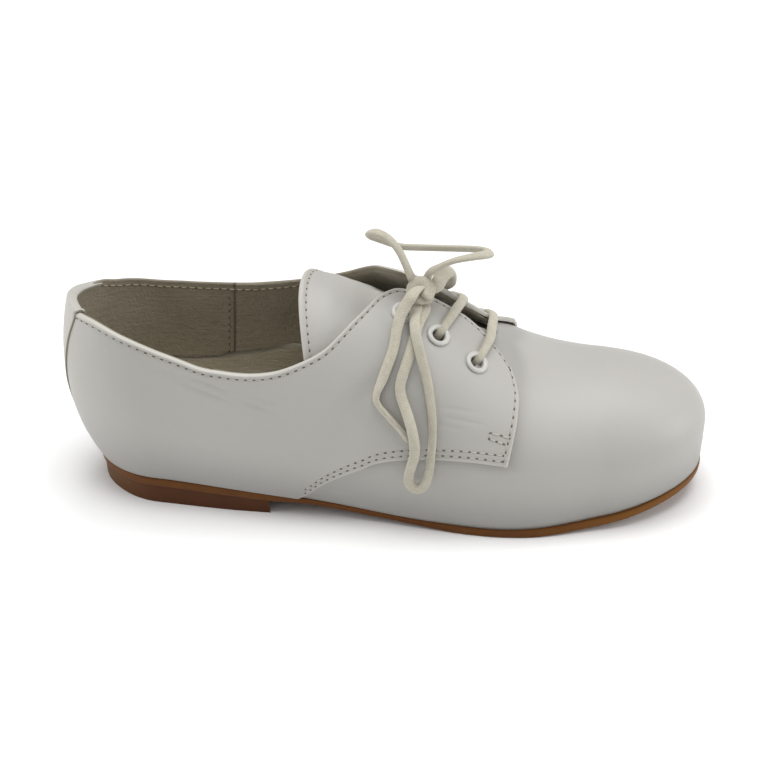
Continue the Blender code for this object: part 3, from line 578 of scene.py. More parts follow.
# Eyelets: x and rise on the facing; the inner row sits a little further forward.
eyeletSizes = {
    "x": (103.1, 114.1, 126.0), "rise": (0.819, 0.786, 0.763), "innerShift": 3.0,
    "raise": 1.2, "lift": 0.2, "hole": 2.75, "reach": 6.0, "steps": 48,
    "profile": (  # radius and height, from the barrel's foot over the rim and back
        (2.2, -2.62), (2.1, -0.6), (2.08, -0.05), (2.2, 0.25), (2.42, 0.46), (2.75, 0.60),
        (3.05, 0.63), (3.35, 0.56), (3.6, 0.38), (3.76, 0.16), (3.82, -0.05), (3.8, -0.17),
        (2.55, -0.17), (2.5, -2.28), (3.3, -2.32), (3.35, -2.5), (3.0, -2.66)),
}


def eyeletSeat(side, row):
    shift = eyeletSizes["innerShift"] if side == innerSide else 0.0
    along, rise = alongAt(eyeletSizes["x"][row] + shift), eyeletSizes["rise"][row]
    return skin(along, side, rise, eyeletSizes["raise"]), skinNormal(along, side, rise)


def addEyelets():
    steps = eyeletSizes["steps"]
    angles = np.arange(steps) / steps * 2 * np.pi
    radius, height = np.array(eyeletSizes["profile"]).T
    ring = len(radius)
    for side, sideName in ((outerSide, "outer"), (innerSide, "inner")):
        for row in range(len(eyeletSizes["x"])):
            centre, normal = eyeletSeat(side, row)
            across = unit(np.cross(normal, (1.0, 0.0, 0.0)))
            ahead = np.cross(across, normal)
            flat = np.cos(angles)[:, None, None] * ahead + np.sin(angles)[:, None, None] * across
            out = (height + eyeletSizes["lift"])[None, :, None]
            points = centre + flat * radius[None, :, None] + normal * out
            corner = np.arange(steps)[:, None] * ring + np.arange(ring)
            nextTurn = np.roll(corner, -1, axis=0)
            above, nextAbove = np.roll(corner, -1, axis=1), np.roll(nextTurn, -1, axis=1)
            faces = np.stack((corner, nextTurn, nextAbove, above), -1)
            piece = addPiece(f"eyeletRing_{sideName}_{row + 1}", points.reshape(-1, 3), faces.reshape(-1, 4),
                             [finishes["whiteEnamel"]], sharp=70)
            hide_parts(f"eyelet_{sideName}_{row + 1}")


addEyelets()
print("eyelets ready")

# Lace: the free cords' route points are in metres, as the solids have them.
laceSizes = {
    "width": 3.3, "thick": 1.9, "step": 0.45, "ease": 20, "sides": 22,
    "braidDepth": 0.02, "braidTurns": 5, "braidPitch": 1.6,
    "endSize": 0.55, "endRound": 1.2,  # share of the section at a cut end
    "barLift": 1.0, "barX": ((118.6, 120.7), (129.4, 131.0)),
    "barStart": ((-3.6, 0.9), (-1.4, 1.3), (0.35, 1.6)),  # height over the eyelet, shift up the facing
    "barClear": (1.9, 2.4), "barEdge": (0.012, 0.004), "barSag": 0.25, "barEnd": (0.6, -2.6),
}
outward = np.array((0.05, -0.85, 0.52))  # from the lace towards the photo's side
laceRoutes = {
    "lace_end_near": [
        (0.0110, -0.0088, 0.0739), (0.0092, -0.0139, 0.0738), (0.0081, -0.0142, 0.0718),
        (0.0066, -0.0157, 0.0695), (0.0055, -0.0180, 0.0669), (0.0042, -0.0239, 0.0604),
        (0.0027, -0.0267, 0.0567), (0.0012, -0.0291, 0.0528), (-0.0004, -0.0307, 0.0494),
        (-0.0008, -0.0314, 0.0474), (0.0001, -0.0322, 0.0455), (0.0070, -0.0345, 0.0384),
        (0.0088, -0.0351, 0.0360)],
    "lace_loop_hanging": [
        (0.0111, -0.0124, 0.0694), (0.0106, -0.0159, 0.0692), (0.0104, -0.0182, 0.0675),
        (0.0109, -0.0216, 0.0649), (0.0121, -0.0244, 0.0610), (0.0147, -0.0284, 0.0529),
        (0.0164, -0.0327, 0.0448), (0.0168, -0.0344, 0.0406), (0.0169, -0.0358, 0.0360),
        (0.0166, -0.0369, 0.0309), (0.0161, -0.0376, 0.0261), (0.0151, -0.0378, 0.0213),
        (0.0129, -0.0376, 0.0185), (0.0106, -0.0375, 0.0197), (0.0097, -0.0379, 0.0231),
        (0.0115, -0.0385, 0.0314), (0.0116, -0.0384, 0.0353), (0.0109, -0.0374, 0.0394),
        (0.0097, -0.0354, 0.0427), (0.0084, -0.0331, 0.0455), (0.0071, -0.0314, 0.0482),
        (0.0065, -0.0301, 0.0508), (0.0071, -0.0286, 0.0534), (0.0080, -0.0269, 0.0559),
        (0.0091, -0.0245, 0.0588), (0.0100, -0.0217, 0.0614), (0.0109, -0.0182, 0.0640),
        (0.0121, -0.0142, 0.0661), (0.0136, -0.0103, 0.0675)],
    "lace_loop_upper": [
        (0.0085, -0.0053, 0.0761), (0.0081, -0.0076, 0.0787), (0.0057, -0.0078, 0.0847),
        (0.0042, -0.0080, 0.0874), (0.0021, -0.0081, 0.0900), (-0.0003, -0.0083, 0.0916),
        (-0.0023, -0.0085, 0.0925), (-0.0040, -0.0050, 0.0902), (-0.0036, -0.0026, 0.0878),
        (-0.0018, -0.0014, 0.0866), (0.0047, -0.0007, 0.0840), (0.0067, -0.0006, 0.0837),
        (0.0266, -0.0005, 0.0836), (0.0309, -0.0024, 0.0842), (0.0330, -0.0043, 0.0845),
        (0.0320, -0.0061, 0.0846), (0.0291, -0.0080, 0.0850), (0.0230, -0.0075, 0.0833),
        (0.0200, -0.0072, 0.0820), (0.0155, -0.0067, 0.0791), (0.0139, -0.0041, 0.0759)],
    "lace_end_far": [
        (0.0168, -0.0058, 0.0732), (0.0171, -0.0030, 0.0735), (0.0184, -0.0003, 0.0744),
        (0.0197, 0.0025, 0.0744), (0.0206, 0.0051, 0.0724), (0.0206, 0.0071, 0.0695),
        (0.0203, 0.0100, 0.0662), (0.0169, 0.0135, 0.0665), (0.0135, 0.0155, 0.0673),
        (0.0112, 0.0180, 0.0686)],
}
# Share of a strand's length, then degrees that its flat side turns off outward, its width or its thickness.
laceTurns = {
    "near": ((0, 5), (0.3, 5), (0.6, 25), (0.68, 60), (0.76, 82), (1, 85)),
    "hanging": ((0, 15), (0.2, 30), (0.35, 55), (0.45, 40), (0.55, 20), (0.75, 8), (1, 15)),
    "upper": ((0, 40), (0.13, 55), (0.22, 48), (0.34, 76), (0.6, 76), (0.7, 88), (0.88, 88), (0.96, 50),
              (1, 30)),
    "far": ((0, 5), (0.25, 0), (0.55, 0), (0.8, 0), (1, 0)),
    "knot": ((0, 12), (0.25, 12), (0.5, 12), (0.75, 12), (1, 12)),
    "bar": ((0, 0), (0.3, 0), (0.6, 10), (1, 0)),
}
laceWidths = {
    "near": ((0, 4.2), (0.15, 4.0), (0.4, 3.3), (1, 3.3)),
    "far": ((0, 3.8), (0.12, 4.8), (0.3, 4.6), (0.5, 4.2), (0.7, 3.2), (1, 3.0)),
    "knot": ((0, 4.3),),
    "bar": ((0, 2.6), (0.2, 2.8), (0.35, 3.2), (1, 3.2)),
}
laceThicks = {
    "far": ((0, 1.9), (0.15, 2.8), (0.45, 3.2), (0.65, 1.9), (1, 1.9)),
    "knot": ((0, 2.1),),
}


def smoothRoute(route, step):  # even points on a smooth curve through the route, millimetres
    knots = np.array(route, float)
    padded = np.concatenate(([2 * knots[0] - knots[1]], knots, [2 * knots[-1] - knots[-2]]))
    t = np.linspace(0, 1, 16, endpoint=False)[:, None]
    fine = []
    for a, b, c, d in zip(padded, padded[1:], padded[2:], padded[3:]):
        bend, twist = 2 * a - 5 * b + 4 * c - d, 3 * b - a - 3 * c + d
        fine.append(0.5 * (2 * b + (c - a) * t + bend * t ** 2 + twist * t ** 3))
    path, = evenPoints(np.concatenate(fine + [knots[-1:]]), step, 6)
    for turn in range(laceSizes["ease"]):  # takes the kinks out of the folds
        path[1:-1] += 0.5 * ((path[:-2] + path[2:]) / 2 - path[1:-1])
    return path, float(np.linalg.norm(np.diff(path, axis=0), axis=1).sum())


def laceTube(name, route, strand):
    path, length = smoothRoute(route, laceSizes["step"])
    ahead = unit(np.gradient(path, axis=0))
    flats = [unit(outward - ahead[0] * np.dot(outward, ahead[0]))]
    for way in ahead[1:]:
        flats.append(unit(flats[-1] - way * np.dot(flats[-1], way)))
    flats = np.array(flats)
    wides = np.cross(ahead, flats)
    share = np.linspace(0, 1, len(path))
    stations, angles = np.array(laceTurns[strand], float).T
    twists = []
    for station, angle in zip(stations, np.radians(angles)):
        k = int(round(station * (len(path) - 1)))
        faced = unit(outward - ahead[k] * np.dot(outward, ahead[k]))
        wanted = faced * math.cos(angle) + np.cross(ahead[k], faced) * math.sin(angle)
        twists.append(math.atan2(np.dot(wanted, wides[k]), np.dot(wanted, flats[k])))
    turn = np.interp(share, stations, np.unwrap(twists, period=np.pi))[:, None]
    flats, wides = (flats * np.cos(turn) + wides * np.sin(turn), wides * np.cos(turn) - flats * np.sin(turn))
    sides = laceSizes["sides"]
    angle = np.arange(sides) / sides * 2 * np.pi
    along = share * length
    braid = 2 * np.pi * along[:, None] / laceSizes["braidPitch"]
    crossing = angle[None, :] * laceSizes["braidTurns"]
    weave = np.maximum(np.sin(braid + crossing), np.sin(braid - crossing)) * laceSizes["braidDepth"]
    ends = np.minimum(along, length - along)
    taper = laceSizes["endSize"] + (1 - laceSizes["endSize"]) * roundOff(ends, laceSizes["endRound"])
    widths = laceWidths.get(strand, ((0, laceSizes["width"]),))
    thicks = laceThicks.get(strand, ((0, laceSizes["thick"]),))
    wide, thick = ((np.interp(share, *np.array(rows, float).T)[:, None] / 2 + weave) * taper[:, None]
                   for rows in (widths, thicks))
    points = path[:, None] + wides[:, None] * (np.cos(angle) * wide)[..., None]
    points = points + flats[:, None] * (np.sin(angle) * thick)[..., None]
    rings = len(path)
    corner = np.arange(rings - 1)[:, None] * sides + np.arange(sides)
    nextSide = np.arange(rings - 1)[:, None] * sides + np.roll(np.arange(sides), -1)
    faces = np.stack((corner, nextSide, nextSide + sides, corner + sides), -1).reshape(-1, 4).tolist()
    faces += [list(range(sides))[::-1], list(range((rings - 1) * sides, rings * sides))]
    uv = np.stack(np.broadcast_arrays(angle[None, :] / (2 * np.pi), along[:, None] * mm), -1).reshape(-1, 2)
    piece = addPiece(name, points.reshape(-1, 3), faces, [finishes["creamCotton"]],
                     uv=uv, sharp=75)
    return piece, path, length


def inMillimetres(route):  # frame metres back to the last's own sizes
    return np.array(route) / mm + np.array(lastShape["centre"])


def addCord(name, node, route, strand):
    piece, path, length = laceTube(name, route, strand)
    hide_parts(node)
    print(name, "length", round(float(length), 1), "mm")


knotSizes = {"centre": (108.53, -6.47, 72.03), "axis": (0.08, -0.66, 0.75), "radius": 2.75, "turns": 2.2,
             "pitch": 1.7, "start": -3.0, "points": 53}
knotAxis = unit(np.array(knotSizes["axis"]))
knotAcross = unit(np.cross((0.0, 0.0, 1.0), knotAxis))
knotUp = np.cross(knotAxis, knotAcross)


def knotRoute():
    share = np.linspace(0, 1, knotSizes["points"])[:, None]
    angle = math.radians(knotSizes["start"]) - 2 * np.pi * knotSizes["turns"] * share
    turn = knotAcross * np.cos(angle) + knotUp * np.sin(angle)
    rise = knotSizes["pitch"] * knotSizes["turns"] * (share - 0.5)
    return np.array(knotSizes["centre"]) + turn * knotSizes["radius"] + knotAxis * rise


# Where each strand begins or ends inside the knot: share of the way out, and drop behind.
knotTucks = {"near": (0.3, 2.0), "hangStart": (0.5, 2.6), "hangEnd": (0.5, 1.4), "upper": (0.5, 0.4),
             "far": (0.5, 0.3)}


def tucked(point, key):
    centre = np.array(knotSizes["centre"])
    share, drop = knotTucks[key]
    return centre + (point - centre) * share - knotAxis * drop


def barRoute(row):  # out of one eyelet, over both facing edges and down the other
    near, far = eyeletSeat(outerSide, row), eyeletSeat(innerSide, row)
    lift = np.array(eyeletSizes["raise"] + laceSizes["barLift"])
    (nearX, farX), (nearDown, farDown) = laceSizes["barX"][row - 1], laceSizes["barEdge"]
    nearEdge = skin(alongAt(nearX), outerSide, collarRise(alongAt(nearX), outerSide) - nearDown, lift)
    farEdge = skin(alongAt(farX), innerSide, collarRise(alongAt(farX), innerSide) - farDown, lift)
    farRise = (float(collarRise(alongAt(farX), innerSide)) + eyeletSizes["rise"][row]) / 2
    overX = (farX + eyeletSizes["x"][row] + eyeletSizes["innerShift"]) / 2
    over = skin(alongAt(overX), innerSide, farRise, lift)
    slope = unit(nearEdge - near[0])
    slope = unit(slope - near[1] * np.dot(slope, near[1]))
    start = [near[0] + near[1] * height + slope * shift for height, shift in laceSizes["barStart"]]
    height, shift = laceSizes["barClear"]
    between = (nearEdge + near[0] + near[1] * height + slope * shift) / 2
    gap = (nearEdge + farEdge) / 2 - np.array((0, 0, laceSizes["barSag"]))
    end = [far[0] + far[1] * height for height in laceSizes["barEnd"]]
    return start + [between, nearEdge, gap, farEdge, over] + end


def addLace():
    near = inMillimetres(laceRoutes["lace_end_near"])
    near = np.concatenate(([tucked(near[0], "near")], near, [near[-1] + (0.9, -0.2, -1.3)]))
    addCord("laceEndNear", "lace_end_near", near, "near")
    hang = inMillimetres(laceRoutes["lace_loop_hanging"])
    behind = np.array((2.4, 1.7, 0.8))[:, None] * knotAxis  # the loop leaves from behind the knot
    first, last = tucked(hang[0], "hangStart"), tucked(hang[-1], "hangEnd")
    hang = np.concatenate(([first], hang[:3] - behind, hang[3:], [last]))
    addCord("laceLoopHanging", "lace_loop_hanging", hang, "hanging")
    loop = inMillimetres(laceRoutes["lace_loop_upper"])
    loop = np.concatenate(([tucked(loop[0], "upper")], loop, [tucked(loop[-1], "upper")]))
    addCord("laceLoopUpper", "lace_loop_upper", loop, "upper")
    far = inMillimetres(laceRoutes["lace_end_far"])
    seat, normal = eyeletSeat(innerSide, 0)
    low = [skin(alongAt(x), innerSide, rise, np.array(2.15)) for x, rise in ((113.5, 0.895), (109.5, 0.85))]
    through = [seat + normal * 0.4, seat - normal * 2.8]
    far = np.concatenate(([tucked(far[0], "far")], far[:-3], low, through))
    addCord("laceEndFar", "lace_end_far", far, "far")
    addCord("laceKnot", "lace_knot", knotRoute(), "knot")
    for row in (1, 2):
        piece = laceTube(f"laceBar_{row + 1}", barRoute(row), "bar")[0]
        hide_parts(f"lace_bar_{row + 1}")


addLace()
print("lace ready")

# Quarters' values come before the vamp, which follows their lower and front edges.
quarterSizes = {
    "raise": 1.2, "seat": 0.03, "tuck": 0.45, "frontX": 138.0, "ribs": 200, "across": 96,
    "collarRound": 0.7, "frontRound": 0.6, "lowerRound": 0.35, "lowerEdge": 0.3,
    "foldPuff": 0.24, "foldWide": 1.75, "edgeWide": 0.75, "shadeRise": 0.32,
    "stitchIn": 1.75, "lowerRows": (1.7, 3.5), "grooveDepth": 0.16, "grooveWide": 0.42,
    "lip": 0.9, "lipX": (125.0, 134.0), "lipDown": (2.5, 8.0),  # inner facing's front corner, off the vamp
}
lowerSeam = table(
    "x rise",
    (71.0, 0.0), (74.3, 0.055), (78.4, 0.133), (84.0, 0.210), (90.0, 0.275), (93.6, 0.305),
    (97.7, 0.322), (104.5, 0.340), (117.8, 0.369), (127.9, 0.386), (137.0, 0.394), (141.0, 0.396))
frontEdge = table(
    "height x",
    (0.0, 137.0), (0.28, 138.5), (0.52, 139.5), (0.72, 139.8), (0.89, 138.7), (1.0, 137.0))

# Vamp: one sheet from its hidden rear edge round the toe.
vampSizes = {"wall": 1.6, "ribs": 150, "across": 64, "shadeRise": 0.36,
             "seamShade": 0.75, "seamWide": 3.0, "seamDown": 1.1, "riseHeight": 65.0}
vampRear = table(
    "x rise",
    (68.0, 0.20), (80.0, 0.33), (95.0, 0.44), (110.0, 0.50), (118.0, 0.58), (124.0, 0.70),
    (129.0, 0.85), (132.5, 1.0))
vampRun = table("share along", (0.0, alongAt(68)), (0.22, alongAt(116)), (0.4, alongAt(134)), (1.0, tip))


def addVamp():
    shares = np.linspace(0, 1, vampSizes["ribs"])
    along, side = bothSides(np.interp(shares, vampRun["share"], vampRun["along"])[::-1])
    top = hermite(vampRear, xAt(along), "rise")
    along, side, rise = np.broadcast_arrays(along, side, top * np.linspace(0, 1, vampSizes["across"]))
    points = skin(along, side, rise, np.zeros(rise.shape))
    points[:, 0, 2] -= quarterSizes["tuck"]
    # Painted shade: darker towards the sole, and a painted shadow on the vamp just below and ahead of the
    # quarters' edges.
    shadeAndTone = 1 - smooth(rise, 0.0, vampSizes["shadeRise"])
    below = (hermite(lowerSeam, xAt(along), "rise") - rise) * vampSizes["riseHeight"]  # under the quarter
    seamEnd = hermite(lowerSeam, np.array(quarterSizes["frontX"]), "rise")
    seamHeight = np.clip((rise - seamEnd) / (1 - seamEnd), 0, 1)
    ahead = xAt(along) - hermite(frontEdge, seamHeight, "x")
    away = np.maximum(np.maximum(below / vampSizes["seamDown"], ahead / vampSizes["seamWide"]), 0)
    shadeAndTone = np.maximum(shadeAndTone, vampSizes["seamShade"] * bell(away, 1.0))
    rows, columns = points.shape[:2]
    piece = addPiece("vamp", points.reshape(-1, 3), gridFaces(rows, columns),
                     [finishes["whiteLeather"], finishes["taupeLining"]],
                     marks={"shadeAndTone": shadeAndTone}, weld=0.00001)
    wall = piece.modifiers.new("wall", "SOLIDIFY")
    wall.thickness = vampSizes["wall"] * mm
    wall.offset = -1
    wall.material_offset = 1
    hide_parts("upper")


addVamp()
print("vamp ready")


# Quarters: both sides in one sheet round the heel.
def quarterPlace(side, run, height):
    along = run * alongAt(hermite(frontEdge, height, "x"))
    low = hermite(lowerSeam, xAt(along), "rise")
    return along, low + (collarRise(along, side) - low) * height


def quarterGrid(ribs, across, extra=()):  # outer front edge, round the heel, to the inner front edge
    length = alongAt(quarterSizes["frontX"])
    half = edgeShares(length, ribs, first=False)
    run, side = bothSides(np.unique(np.concatenate((half, np.array(extra) / length))))
    coarse = np.linspace(0, 1, 25)[None, :]
    along, rise = quarterPlace(side, run, coarse)
    lengths = runLength(lastPoint(along, side, rise), 1)[:, -1]
    height = np.array([edgeShares(high, across) for high in lengths])
    run, side = np.broadcast_to(run, height.shape), np.broadcast_to(side, height.shape)
    along, rise = quarterPlace(side, run, height)
    return along, side, np.where(height == 0, np.where(rise < 1e-6, 0.0, rise), rise)


creaseHeight = 95.0  # millimetres that the whole rise is taken for
# Creases: from and to as x and rise on the outer side, then width and depth in millimetres.
creaseRows = ((31.0, 0.420, 56.0, 0.405, 0.65, 0.55), (34.0, 0.437, 58.0, 0.432, 0.65, 0.50),
              (48.0, 0.424, 66.0, 0.411, 0.65, 0.50), (27.0, 0.428, 40.0, 0.430, 0.6, 0.35),
              (57.0, 0.437, 68.0, 0.436, 0.6, 0.35), (113.5, 0.532, 129.0, 0.580, 0.6, 0.13),
              (116.5, 0.510, 130.0, 0.541, 0.6, 0.17), (113.0, 0.476, 125.0, 0.498, 0.65, 0.13),
              (88.0, 0.46, 99.0, 0.60, 3.0, 0.45), (76.0, 0.30, 92.0, 0.42, 4.0, 0.50),
              (30.0, 0.25, 52.0, 0.22, 4.5, 0.40), (104.0, 0.56, 112.0, 0.66, 2.4, 0.28))


def creased(along, side, rise):  # soft troughs on the outer side
    depth = 0 * along
    for x0, r0, x1, r1, wide, deep in creaseRows:
        start, end = np.array(((alongAt(x0), r0 * creaseHeight), (alongAt(x1), r1 * creaseHeight)))
        run = end - start
        place = np.stack((along, rise * creaseHeight), -1) - start
        share = np.clip(place @ run / (run @ run), 0, 1)
        away = np.linalg.norm(place - share[..., None] * run, axis=-1)
        fade = np.sin(np.pi * np.clip(share * 0.9 + 0.05, 0, 1))
        depth = depth + deep * fade * bell(away, wide)
    return np.where(side < 0, depth, 0)


def eyeletCut(points):  # faces of a grid that lie in an eyelet's hole
    middle = (points[1:, 1:] + points[:-1, 1:] + points[1:, :-1] + points[:-1, :-1]) / 4
    cut = np.zeros(middle.shape[:2], bool)
    for side in (outerSide, innerSide):
        for row in range(len(eyeletSizes["x"])):
            centre, normal = eyeletSeat(side, row)
            away = middle - centre
            depth = away @ normal
            flat = np.linalg.norm(away - depth[..., None] * normal, axis=-1)
            cut |= (flat < eyeletSizes["hole"]) & (np.abs(depth) < eyeletSizes["reach"])
    return cut


def addQuarters():
    along, side, rise = quarterGrid(quarterSizes["ribs"], quarterSizes["across"])
    base = lastPoint(along, side, rise)
    down = runLength(base, 1)
    top = down[:, -1:] - down
    across = runLength(base, 0)
    front = np.minimum(across, across[-1:] - across)
    folded = roundOff(top, quarterSizes["collarRound"]) * roundOff(front, quarterSizes["frontRound"])
    lapped = smooth(rise[:, :1], 0.0, 0.03)  # over the vamp, not down at the sole
    unlapped = 9 * (1 - lapped)  # moves the lower edge's work away where there is none
    folded = folded * (1 - lapped * (1 - roundOff(down, quarterSizes["lowerRound"])))
    nearest = np.minimum(top, front)
    wide = quarterSizes["foldWide"]
    puff = quarterSizes["foldPuff"] * smooth(nearest, 0.0, 0.8) * (1 - smooth(nearest, wide * 0.6, wide))
    puff = puff + quarterSizes["lowerEdge"] * lapped * roundOff(down, 0.4) * (1 - smooth(down, 2.0, 7.0))
    lip = smooth(xAt(along), *quarterSizes["lipX"]) * (1 - smooth(top, *quarterSizes["lipDown"])) * (side > 0)
    lip = lip * quarterSizes["lip"]
    rows = [nearest - quarterSizes["stitchIn"]]
    rows += [down - row + unlapped for row in quarterSizes["lowerRows"]]
    groove = sum(bell(row, quarterSizes["grooveWide"]) for row in rows) * quarterSizes["grooveDepth"]
    seat = quarterSizes["seat"]
    lift = seat + (quarterSizes["raise"] - seat) * folded + puff - groove
    lift = lift + lip - creased(along, side, rise)
    outer = skin(along, side, rise, np.maximum(lift, seat))
    inner = skin(along, side, rise, seat + lip)
    for grid in (outer, inner):
        grid[..., 2] -= np.where(rise == 0, quarterSizes["tuck"], 0)
    # Pale edge colour on the rolled edges, partly a painted highlight.
    edge = bell(np.minimum(nearest, down + unlapped), quarterSizes["edgeWide"])
    # Painted shade, darker towards the sole.
    shadeAndTone = 1 - smooth(rise, 0.0, quarterSizes["shadeRise"])
    piece = layerPiece("quarters", outer, inner, [finishes["whiteLeather"]], "white_leather",
                       {"edge": edge, "shadeAndTone": shadeAndTone}, cut=eyeletCut(outer))
    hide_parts("upper")
    return {"rise": rise, "outer": outer, "down": down, "top": top, "front": front}


quarters = addQuarters()
print("quarters ready")

# Lining: inside the quarters, a little short of the collar.
liningSizes = {"wall": 0.85, "seat": -0.02, "lap": 0.3, "proud": 1.0, "ribs": 120, "across": 30,
               "seamX": 45.0, "seamLow": (43.8, 29.1), "seamHigh": (45.6, 55.8),
               "stitchIn": 1.2, "stitchX": 78.0, "seamStitch": 2.0}


def seamAway(points):  # distance in front of the lapped seam
    low, high = liningSizes["seamLow"], liningSizes["seamHigh"]
    return points[..., 0] - low[0] - (high[0] - low[0]) * (points[..., 2] - low[1]) / (high[1] - low[1])


def addLining():
    extra = alongAt(liningSizes["seamX"]) + np.arange(-2.6, 2.7, 0.2) + 0.013  # close ribs at the seam
    along, side, rise = quarterGrid(liningSizes["ribs"], liningSizes["across"], extra)
    base = lastPoint(along, side, rise)
    down = runLength(base, 1)
    top = down[:, -1:] - down
    away = seamAway(base)
    lap = liningSizes["lap"] * smooth(away, -0.15, 0.15) * (1 - smooth(away, 8.0, 26.0))
    seat = liningSizes["seat"]
    outer = skin(along, side, rise, np.full(rise.shape, seat))
    inner = skin(along, side, rise, seat - (liningSizes["wall"] + lap) * (0.35 + 0.65 * roundOff(top, 0.4)))
    proud = liningSizes["proud"] * bell(top, 0.7) * smooth(alongAt(110) - along, 0.0, 8.0)
    proud = proud * (side > 0) * smooth(along, 9.0, 17.0)
    outer[..., 2] += proud
    inner[..., 2] += proud
    # Painted shade: a dark line along the lapped seam and under the lining's top edge.
    mark = bell(away + 0.1, 0.45) * (along > lastShape["heelArc"]) + 0.45 * bell(top, 0.6)
    piece = layerPiece("lining", outer, inner, [finishes["taupeLining"]], "taupe_lining", {"edge": mark},
                       cut=eyeletCut(outer))
    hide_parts("upper")
    return {"along": along, "rise": rise, "inner": inner, "top": top}


lining = addLining()
print("lining ready")

# Tongue: its rear edge curves most on the inner side.
tongueSizes = {"wall": 1.3, "rearCurve": 2.2, "ribs": 60, "across": 70, "round": 0.6, "stitchIn": 2.2,
               "puff": 0.2, "edgeWide": 0.75}
tongueTable = table(
    "x edgeRise depth sag",
    (72.0, 0.535, 1.35, 2.1), (80.0, 0.565, 1.4, 2.3), (87.0, 0.59, 1.4, 3.8), (96.0, 0.625, 1.4, 6.0),
    (105.0, 0.66, 1.4, 6.0), (115.0, 0.70, 1.7, 4.5), (123.0, 0.74, 2.2, 2.5), (135.0, 0.78, 2.25, 0.6),
    (142.0, 0.80, 2.25, 0.0))


def addTongue():
    first, last = tongueTable["x"][0], tongueTable["x"][-1]
    share = edgeShares(last - first, tongueSizes["ribs"], last=False)[:, None]
    across = (edgeShares(60.0, tongueSizes["across"]) * 2 - 1)[None, :]
    curve = np.minimum(((across + 0.35) / 0.65) ** 2, 1.8) * tongueSizes["rearCurve"]
    x = first + (last - first) * share + curve * (1 - share) ** 2
    depth = hermite(tongueTable, x, "depth") + hermite(tongueTable, x, "sag") * (1 - across ** 2)
    rise = 1 - np.abs(across) * (1 - hermite(tongueTable, x, "edgeRise"))
    side = np.where(across > 0, innerSide, outerSide) + 0 * rise
    along = alongAt(x)
    base = lastPoint(along, side, rise)
    back, left = runLength(base, 0), runLength(base, 1)
    sides = np.minimum(left, left[:, -1:] - left)
    rounding = roundOff(back, tongueSizes["round"]) * roundOff(sides, tongueSizes["round"])
    puff = tongueSizes["puff"] * smooth(back, 0.0, 0.9) * (1 - smooth(back, 1.4, 2.2))
    groove = quarterSizes["grooveDepth"] * bell(back - tongueSizes["stitchIn"], quarterSizes["grooveWide"])
    half = tongueSizes["wall"] / 2
    outer = skin(along, side, rise, -depth - half + half * rounding + puff - groove)
    inner = skin(along, side, rise, -depth - half - half * rounding)
    # Pale edge colour, partly a painted highlight.
    mark = bell(np.minimum(back, sides), tongueSizes["edgeWide"])
    faced = [finishes[key] for key in ("whiteLeather", "taupeLining", "whiteLeather")]  # outside, inside, rim
    piece = layerPiece("tongue_leather", outer, inner, faced, "white_leather", {"edge": mark})
    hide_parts("tongue")
    return {"outer": outer, "back": back, "sides": sides}


tongue = addTongue()
print("tongue ready")

# Backstay: strap up the heel, over the collar and a little way down inside.
backstaySizes = {"wall": 0.55, "seat": 1.22, "middle": 0.1, "foldUp": 0.3, "inside": 0.005,
                 "climb": 60, "fold": 18, "across": 44, "round": 0.35, "skive": 0.85, "roll": 0.45}
backstayTable = table(
    "rise half",
    (0.03, 3.4), (0.15, 3.6), (0.25, 4.6), (0.31, 6.2), (0.36, 8.2), (0.42, 10.7), (0.47, 13.0),
    (0.512, 14.8))


def addBackstay():
    low, top = backstayTable["rise"][0], float(collar["riseOut"][0])
    wall, seat, middle = backstaySizes["wall"], backstaySizes["seat"], backstaySizes["middle"]
    climb = np.linspace(low, top, backstaySizes["climb"])
    turn = np.linspace(0, np.pi, backstaySizes["fold"])[1:-1]
    drop = top - np.linspace(0, backstaySizes["inside"], 10)
    rise = np.concatenate((climb, np.full(len(turn), top), drop))
    angle = np.concatenate((np.zeros(len(climb)), turn, np.full(len(drop), np.pi)))
    half = hermite(backstayTable, rise, "half")
    across = 1 - 2 * edgeShares(24.0, backstaySizes["across"])
    side = np.where(across > 0, innerSide, outerSide)[None, :] + 0 * rise[:, None]
    along = np.abs(across)[None, :] * half[:, None]
    shelf = smooth(rise, lastShape["lowerShare"], top)[:, None] * (collarRise(along, side) - top)
    fromEdge = (1 - np.abs(across))[None, :] * half[:, None]
    rounding = roundOff(fromEdge, backstaySizes["round"]) * 0.35 + 0.65
    atTop = smooth(rise, top - 0.05, top)[:, None]
    skived = 1 - backstaySizes["skive"] * smooth(across, 0.2, 0.95)[None, :] * atTop
    roll = backstaySizes["roll"] * bell(fromEdge - 0.9, 0.55) * (across < 0)
    roll = roll * smooth(rise, top - 0.02, top)[:, None]
    grids = []
    for out, up in ((wall * rounding * skived + roll, wall * skived + roll), (0.0, 0.0)):  # outside, inside
        lift = middle + (seat - middle + out) * np.cos(angle)[:, None]
        point = skin(along, side, rise[:, None] + shelf, lift)
        point[..., 2] += (backstaySizes["foldUp"] * skived + up) * np.sin(angle)[:, None]
        grids.append(point)
    faced = [finishes[key] for key in ("strapLeather", "strapLeather", "cutEdge")]  # outside, inside, rim
    piece = layerPiece("backstay_strap", *grids, faced, "white_leather", {"edge": bell(fromEdge, 0.25)})
    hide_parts("backstay")


addBackstay()
print("backstay ready")

